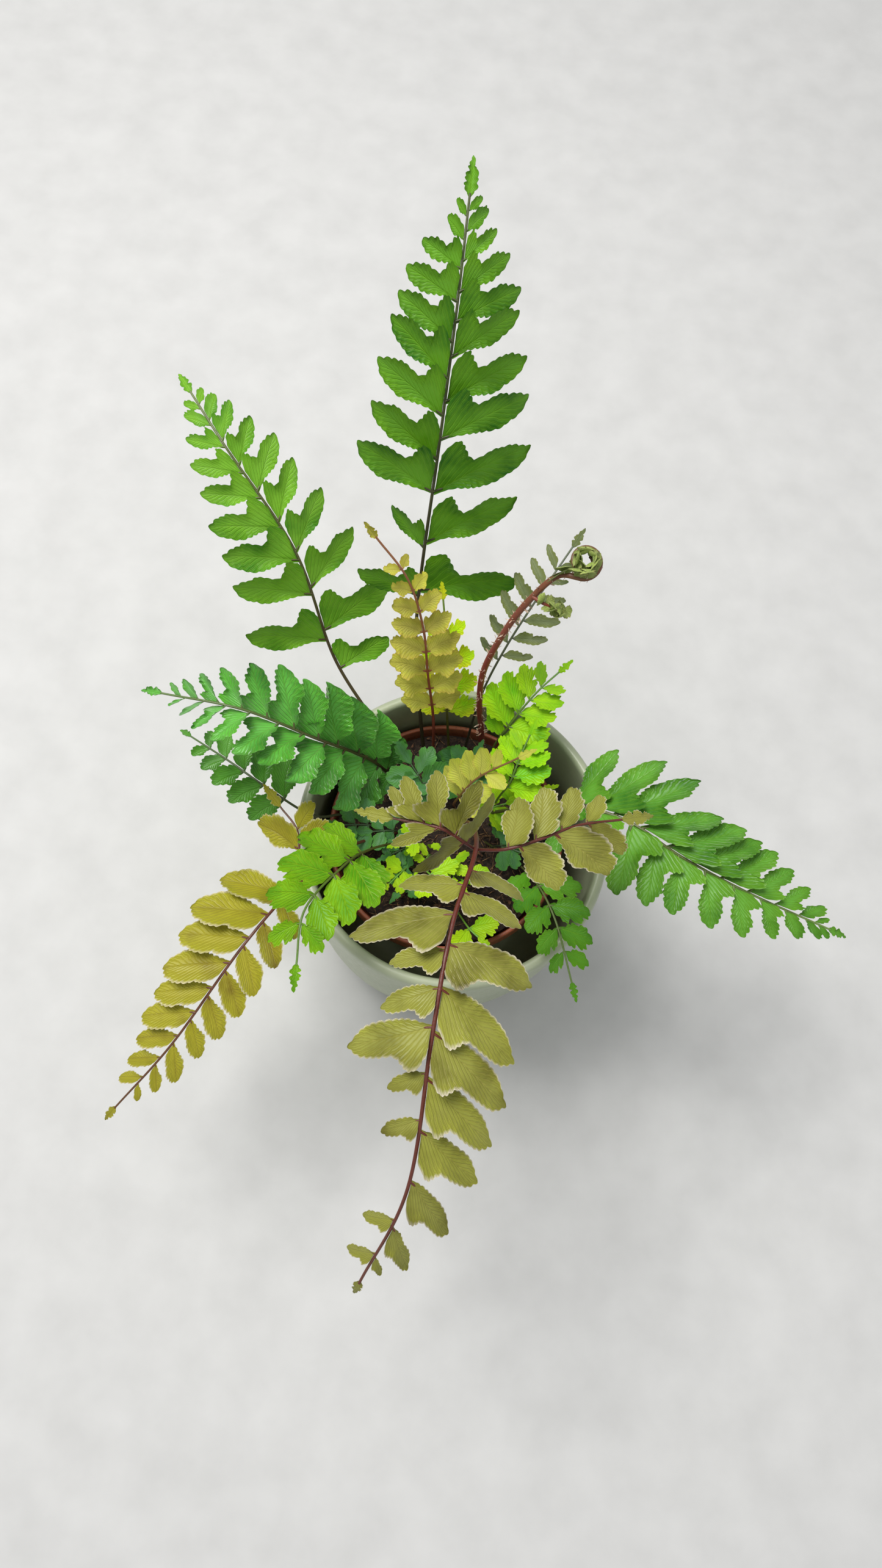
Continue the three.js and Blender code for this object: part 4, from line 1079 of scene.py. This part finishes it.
add_frond("sprig_teal", "green_leaf", 20, Look(
    dark="2e7f2e", light="6db44b", vein="89c867", edge="a3d89f", under="7dad5e", painted_sheen="6fa67a",
    stem=("2a2018", "33382c", "4a7a5c"), painted_sheen_share=0.5,
), Spray(
    line=[(20, 12, 80), (23, 7, 96), (25, 4, 108), (26, 8, 115)],
    face=((-0.5, -0.7, 0.3), (0, -0.3, 1)), stem=(0.8, 0.65), outline="fan", span=(0.6, 0.95),
    left=[12, 10], right=[12, 10], angle=(66, 52), rise=5, twist=-45, tip=7,
))


# --- Small leaves over the soil -----------------------------------------------------------------
# The crown is crowded with short young sprigs of two pairs of leaflets, some lime and some dark
# green, that grow from between the pot's middle and their tips.

# A row gives the tip's place and the length of its leaflets.
CROWN_LIME_MM = [
    (-21, -7, 117, 10), (-12, -15, 110, 7), (3, -19, 114, 9), (-25, -26, 111, 9),
    (21, 15, 126, 13), (34, 23, 124, 11), (-4, -8, 112, 7),
]
CROWN_GREEN_MM = [
    (-24, 28, 122, 17), (-14, 24, 118, 12), (-36, -4, 114, 11), (-19, -26, 108, 10),
    (32, -4, 117, 11), (-26, -12, 110, 9), (-50, -4, 117, 12),
]
SPRIG_FOOT_SHARE, SPRIG_BEND_SHARE = 0.5, 0.72
SPRIG_FOOT_DEPTH_MM, SPRIG_BEND_DROP_MM = 4, 3


def crown_sprigs(rows):
    centre = np.array(middle)
    made = []
    for x, y, z, length in rows:
        foot = centre + SPRIG_FOOT_SHARE * (np.array([x, y]) - centre)
        bend = centre + SPRIG_BEND_SHARE * (np.array([x, y]) - centre)
        made.append(Spray(
            line=[
                (*foot, SOIL_TOP_MM - SPRIG_FOOT_DEPTH_MM), (*bend, z - SPRIG_BEND_DROP_MM),
                (x, y, z),
            ],
            face=((0, -0.5, 1), (0, -0.3, 1)), stem=(0.7, 0.5), outline="fan", span=(0.72, 0.98),
            stagger=0.1, left=[length, 0.85 * length], right=[length, 0.8 * length],
            angle=(80, 50), rise=6, hang=0.08, twist=-20, tip=0.9 * length))
    return made


add_frond(
    "crown_lime", "lime_leaf", 31, SPRIG_LOOK, *crown_sprigs(CROWN_LIME_MM), has_plain=False)
add_frond(
    "crown_green", "green_leaf", 32, DARK_LOW_LOOK, *crown_sprigs(CROWN_GREEN_MM),
    has_plain=False)


# --- Coiled frond -------------------------------------------------------------------------------
# A red-brown scaly stalk bends over into a small flat coil set with rolled yellow-green leaflets,
# and a second small cluster of them hangs under it from a side branch.
COIL_STALK_MM = [
    (8, 45, 80), (6, 48, 118), (2, 50, 150), (1, 53, 176), (5, 57, 200), (12, 63, 220),
    (22, 69, 234),
]
COIL_STALK_RADII_MM = (1.3, 0.7)
COIL_THINS_FROM, COIL_THINS_OVER = 0.68, 0.32
COIL_CENTRE_MM = np.array((30, 74, 238))
COIL_ACROSS = np.array((1, 0, 0))
COIL_UPWARD = np.array((0, 0.94, 0.33))
COIL_SIDE = unit(np.cross(COIL_ACROSS, COIL_UPWARD))
COIL_TURN = (-1.9, 7.2)
COIL_REACH_MM = (6.6, 2.6)
COIL_POINTS = 27
COIL_STOPS = 190
COIL_LEAFLETS = 21
COIL_LEAFLETS_OVER_MM = 52
COIL_LEAFLETS_TO = 0.97
COIL_LEAFLET_MM = (9.5, 7)
COIL_LEAFLET_OFF_MM = 0.8
COIL_ROLL, BRANCH_ROLL = (1.5, 2.6), (1.5, 2.8)
COIL_LOOK = Look(
    dark="7f9438", light="ccdc80", vein="dce8a0", edge="7a5630", under="a3b955", painted_sheen="8fa050",
    stem=("5c1418", "962630", "6a5a32"), rough=0.45, sheen=0.2, younger=0, teeth=1, tooth_count=12,
    cup=0.1, wave=0.06, stem_width=1, vein_count=5, vein_relief=0.0003, edge_from=0.8,
    edge_share=0.7, lobes=0.6,
)
BRANCH_MM = [(14, 64, 224), (18, 61.5, 225), (22, 61, 223.5), (25.5, 61.5, 221)]
BRANCH_RADII_MM = (0.8, 0.4)
BRANCH_STOPS = 14
BRANCH_LEAFLETS = 10
BRANCH_LEAFLETS_FROM = 0.3
BRANCH_LEAFLET_MM = 6
BRANCH_LEAFLET_TURN = 2.4
BRANCH_AGE, BRANCH_LEAFLET_AGE = 0.6, 0.9


def rolled(origin, out, across, up, length, roll):
    """Places a leaflet's points on a roll of so many radians that closes towards up."""
    radius = length / roll

    def place(u, v, lift):
        turn = u * roll
        reach = (radius * (1 - 0.25 * u)) - lift
        spot = origin + out * (reach * math.sin(turn)) + up * (radius - reach * math.cos(turn))
        return spot + across * v * length

    return place


def coil_at(share):
    turn = drawn(share, *COIL_TURN)
    reach = drawn(share, *COIL_REACH_MM)
    return (COIL_CENTRE_MM + reach * math.cos(turn) * COIL_ACROSS
            + reach * math.sin(turn) * COIL_UPWARD)


def coil_radius(t):
    return drawn(max(0, (t - COIL_THINS_FROM) / COIL_THINS_OVER), *COIL_STALK_RADII_MM)


dice = random.Random(41)
skin = Skin()
line = Midline([*COIL_STALK_MM, *[coil_at(k / (COIL_POINTS - 1)) for k in range(COIL_POINTS)]])
stops = np.linspace(0, 1, COIL_STOPS)
add_stalk(
    skin, [line.at(t) for t in stops], [coil_radius(t) for t in stops], [COIL_SIDE] * COIL_STOPS,
    stops, groove=0.25)
for k in range(COIL_LEAFLETS):
    share = k / (COIL_LEAFLETS - 1)
    spot, ahead, right, up = line.axes(
        (COIL_SIDE, COIL_SIDE),
        drawn(share, 1 - COIL_LEAFLETS_OVER_MM / line.length, COIL_LEAFLETS_TO))
    inward = unit(COIL_CENTRE_MM - spot)
    size = drawn(share, *COIL_LEAFLET_MM)
    hand = -1 if k % 4 == 3 else 1
    place = rolled(
        spot + up * (COIL_LEAFLET_OFF_MM * hand),
        unit(inward + ahead * drawn(dice.random(), -0.4, 0.5)), ahead,
        unit(up * hand - inward * 0.25), size, drawn(dice.random(), *COIL_ROLL))
    add_leaflet(skin, place, hand, LEAFLETS["fan"], size, COIL_LOOK, dice, dice.random())
branch = Midline(BRANCH_MM)
branch_way = unit(branch.at(1) - branch.at(0))
stops = np.linspace(0, 1, BRANCH_STOPS)
add_stalk(
    skin, [branch.at(t) for t in stops], [drawn(t, *BRANCH_RADII_MM) for t in stops],
    [COIL_SIDE] * BRANCH_STOPS, [BRANCH_AGE] * BRANCH_STOPS, sides=8, groove=0.1)
for k in range(BRANCH_LEAFLETS):
    turn = BRANCH_LEAFLET_TURN * k
    around = math.cos(turn) * COIL_SIDE + math.sin(turn) * COIL_UPWARD
    aim = unit(0.6 * branch_way + around)
    sideways = unit(np.cross(aim, COIL_SIDE + np.array([0.3, 0.1, 0])))
    place = rolled(
        branch.at(drawn(k / (BRANCH_LEAFLETS - 1), BRANCH_LEAFLETS_FROM, 1)), aim, sideways,
        np.cross(sideways, aim), BRANCH_LEAFLET_MM, drawn(dice.random(), *BRANCH_ROLL))
    add_leaflet(
        skin, place, 1, LEAFLETS["fan"], BRANCH_LEAFLET_MM, COIL_LOOK, dice, BRANCH_LEAFLET_AGE)
coil = skin.piece("coiled_frond", COIL_LOOK, "coil")
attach(coil, "root")
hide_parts("crozier")


# --- Scales on the coiled frond's stalk ---------------------------------------------------------
# Narrow papery scales, pale brown, that stand off the stalk and point up along it. They are
# scattered over a sleeve close to the stalk's own skin.

# What is scattered has its density per square metre and its length in metres. A chip has its
# width, length, height and bend, for a length of 1, and turns between two sets of angles.
SCALES = {"Density": 170000.0, "Length": 0.002, "Seed": 5}
SCALE_CHIP = (0.26, 1.0, 0.05, 0.2)
SCALE_TURNS = ((-0.9, -0.5, 0), (0.9, 0.5, 6.283))
SCALE_TONES = ("a07a60", "d0b49c", "f0e2d0")
SLEEVE_SPAN = (0.05, 0.86)
SLEEVE_RADII_MM = (1.25, 1.1)
SLEEVE_THINS_FROM = 0.7
SLEEVE_STOPS = 80
CHIP_ROWS = 4
CHIP_SIZES = (0.45, 1.15)


def chip_mesh(name, width, length, height, bend):
    """A small tapered chip along +Z, its middle bent out along +Y."""
    front = []
    for s in (k / (CHIP_ROWS - 1) for k in range(CHIP_ROWS)):
        half = width * (1 - 0.8 * s * s) / 2
        front += [(-half, bend * s * s, length * s), (half, bend * s * s, length * s)]
    back = [(x, y + height, z) for x, y, z in front]
    b = len(front)
    faces = []
    for a in range(0, b - 2, 2):
        faces += [(a, a + 1, a + 3, a + 2), (a + b + 2, a + b + 3, a + b + 1, a + b)]
        faces += [(a, a + 2, a + b + 2, a + b), (a + 1, a + b + 1, a + b + 3, a + 3)]
    faces += [(0, b, b + 1, 1), (b - 2, b - 1, 2 * b - 1, 2 * b - 2)]
    mesh = bpy.data.meshes.new(name)
    mesh.from_pydata(front + back, [], faces)
    piece = bpy.data.objects.new(name, mesh)
    bpy.context.collection.objects.link(piece)
    return piece


def scattered(name, ground, chip, values, material, lie):
    """Chips scattered over a surface by a node tree: density, length and seed are its inputs."""
    tree = bpy.data.node_groups.new(name, "GeometryNodeTree")
    for key, way, kind in (
        ("Geometry", "INPUT", "Geometry"), ("Density", "INPUT", "Float"),
        ("Length", "INPUT", "Float"), ("Seed", "INPUT", "Int"), ("Geometry", "OUTPUT", "Geometry"),
    ):
        tree.interface.new_socket(key, in_out=way, socket_type="NodeSocket" + kind)
    given = add_node(tree, "NodeGroupInput").outputs
    spread = add_node(
        tree, "GeometryNodeDistributePointsOnFaces", {"distribute_method": "RANDOM"},
        Mesh=given["Geometry"], Density=given["Density"], Seed=given["Seed"]).outputs
    shape = add_node(tree, "GeometryNodeObjectInfo", Object=chip).outputs["Geometry"]
    scale = add_node(
        tree, "FunctionNodeRandomValue", {"data_type": "FLOAT"}, Seed=given["Seed"],
        i2=CHIP_SIZES[0], i3=CHIP_SIZES[1]).outputs[1]
    sized = add_node(
        tree, "ShaderNodeMath", {"operation": "MULTIPLY"}, i0=scale, i1=given["Length"])
    turn = add_node(
        tree, "FunctionNodeRandomValue", {"data_type": "FLOAT_VECTOR"}, Seed=given["Seed"],
        i0=lie[0], i1=lie[1]).outputs[0]
    spun = add_node(
        tree, "FunctionNodeRotateEuler", {"rotation_type": "EULER", "space": "LOCAL"},
        i0=spread["Rotation"], i1=turn).outputs[0]
    placed = add_node(
        tree, "GeometryNodeInstanceOnPoints", Points=spread["Points"], Instance=shape,
        Rotation=spun, Scale=sized.outputs[0])
    real = add_node(tree, "GeometryNodeRealizeInstances", Geometry=placed.outputs[0])
    painted = add_node(
        tree, "GeometryNodeSetMaterial", Geometry=real.outputs[0], Material=material)
    add_node(tree, "NodeGroupOutput", i0=painted.outputs[0])
    maker = ground.modifiers.new(name, "NODES")
    maker.node_group = tree
    for socket in tree.interface.items_tree:
        if socket.in_out == "INPUT" and socket.name in values:
            maker[socket.identifier] = values[socket.name]
    make_plain(ground)
    bpy.data.objects.remove(chip)
    ground.name = name
    return ground


def litter_paint(name, tones, rough):
    """Dry brown bits: each patch its own tone, grained along its length."""
    paint = Paint(name)
    dark, middling, pale = (tone(text) for text in tones)
    grain = paint.noise(2600.0, 3.0)
    colour = paint.ramp(paint.noise(650.0, 1.0), (0.35, dark), (0.5, middling), (0.65, pale))
    colour = paint.mix(paint.times(grain, 0.4), colour, dark)
    return paint.surface(
        Base_Color=colour, Roughness=rough, Normal=paint.bump(grain, 0.5, 0.0002))


sleeve = Skin()
stops = np.linspace(*SLEEVE_SPAN, SLEEVE_STOPS)
add_stalk(
    sleeve, [line.at(t) for t in stops],
    [SLEEVE_RADII_MM[0 if t < SLEEVE_THINS_FROM else 1] for t in stops],
    [COIL_SIDE] * SLEEVE_STOPS, stops, groove=0.2)
stalk_scales = scattered(
    "stalk_scales", new_piece("sleeve", sleeve.points, sleeve.faces),
    chip_mesh("scale", *SCALE_CHIP), SCALES, litter_paint("scale_brown", SCALE_TONES, 0.6),
    SCALE_TURNS)
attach(stalk_scales, "root")


# --- Litter on the soil -------------------------------------------------------------------------
# Crumbs, coir fibres and small bark chips lie scattered over the top of the soil. Each entry has
# its inputs, its chip, three tones and the angles it turns between.
LITTER = {
    "soil_crumbs": (
        {"Density": 90000.0, "Length": 0.0013, "Seed": 11}, (0.8, 1.0, 0.7, 0.2),
        ("0f0a07", "2b1a10", "4a2f1c"), ((0, 0, 0), (6.28, 6.28, 6.28))),
    "soil_fibres": (
        {"Density": 42000.0, "Length": 0.0085, "Seed": 23}, (0.035, 1.0, 0.03, 0.22),
        ("3a2415", "7a5534", "b08a5e"), ((1.25, 0, 0), (1.62, 0.2, 6.28))),
    "bark_chips": (
        {"Density": 9000.0, "Length": 0.0042, "Seed": 37}, (0.5, 1.0, 0.22, 0.08),
        ("2a180e", "4d3020", "7a5638"), ((1.2, 0, 0), (1.8, 0.5, 6.28))),
}


def soil_top(name):
    """The upper skin of the soil, short of its edge, as a ground to scatter on."""
    count = 1 + (SOIL_RINGS - 2) * SOIL_SIDES
    return new_piece(name, soil_points[:count], [f for f in soil_faces if max(f) < count])


for name, (values, chip, tones, lie) in LITTER.items():
    bits = scattered(
        name, soil_top(name + "_ground"), chip_mesh(name + "_bit", *chip), values,
        litter_paint(name + "_paint", tones, 0.85), lie)
    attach(bits, "root")


# --- Floor, light and camera --------------------------------------------------------------------
# A plain pale floor, one broad soft light from the upper left behind and a weak fill, and a
# camera held over the front of the pot, looking steeply down at it, a little turned.
FLOOR_HALF_MM = 2600

# Each light has its place and size in metres, its power in watts and its colour.
LIGHTS = {
    "key": ((-0.5, 0.3, 1.5), 0.7, 22.0, (1.0, 0.985, 0.96)),
    "fill": ((0.9, -0.9, 1.1), 1.6, 2.5, (0.93, 0.96, 1.0)),
}
LIT_PLACE = Vector((0, 0, 0.15))
ROOM_COLOUR, ROOM_STRENGTH = (0.97, 0.98, 1.0, 1), 0.44
CAMERA_PLACE = (-0.009, -0.1385, 0.584)
CAMERA_PITCH = math.radians(71)
CAMERA_ROLL = math.radians(9)


def floor_paint():
    paint = Paint("pale_floor")
    colour = paint.ramp(
        paint.noise(40.0, 5.0), (0.3, (0.6, 0.6, 0.59)), (0.7, (0.66, 0.66, 0.65)))
    return paint.surface(Base_Color=colour, Roughness=0.75)


corners = [
    (x * FLOOR_HALF_MM, y * FLOOR_HALF_MM, 0) for x, y in ((-1, -1), (1, -1), (1, 1), (-1, 1))]
floor = new_piece("floor", corners, [(0, 1, 2, 3)], [floor_paint()])

for name, (place, size, power, colour) in LIGHTS.items():
    lamp = bpy.data.lights.new(name, "AREA")
    lamp.size = size
    lamp.energy = power
    lamp.color = colour
    light = bpy.data.objects.new(name, lamp)
    light.location = place
    light.rotation_euler = (LIT_PLACE - Vector(place)).to_track_quat("-Z", "Y").to_euler()
    bpy.context.collection.objects.link(light)
world = bpy.data.worlds.new("room")
bpy.context.scene.world = world
world.use_nodes = True
sky = world.node_tree.nodes["Background"]
sky.inputs[0].default_value = ROOM_COLOUR
sky.inputs[1].default_value = ROOM_STRENGTH

eye = bpy.data.cameras.new("camera")
eye.lens = 25.0
eye.sensor_width = 36.0
eye.clip_start = 0.02
camera = bpy.data.objects.new("camera", eye)
ahead = Vector((0, math.cos(CAMERA_PITCH), -math.sin(CAMERA_PITCH)))
level = Vector((1, 0, 0))
right = level * math.cos(CAMERA_ROLL) + level.cross(ahead) * math.sin(CAMERA_ROLL)
turned_to = Matrix((right, right.cross(ahead), -ahead)).transposed().to_4x4()
camera.matrix_world = Matrix.Translation(CAMERA_PLACE) @ turned_to
bpy.context.collection.objects.link(camera)
bpy.context.scene.camera = camera
bpy.context.scene.view_settings.view_transform = "Standard"
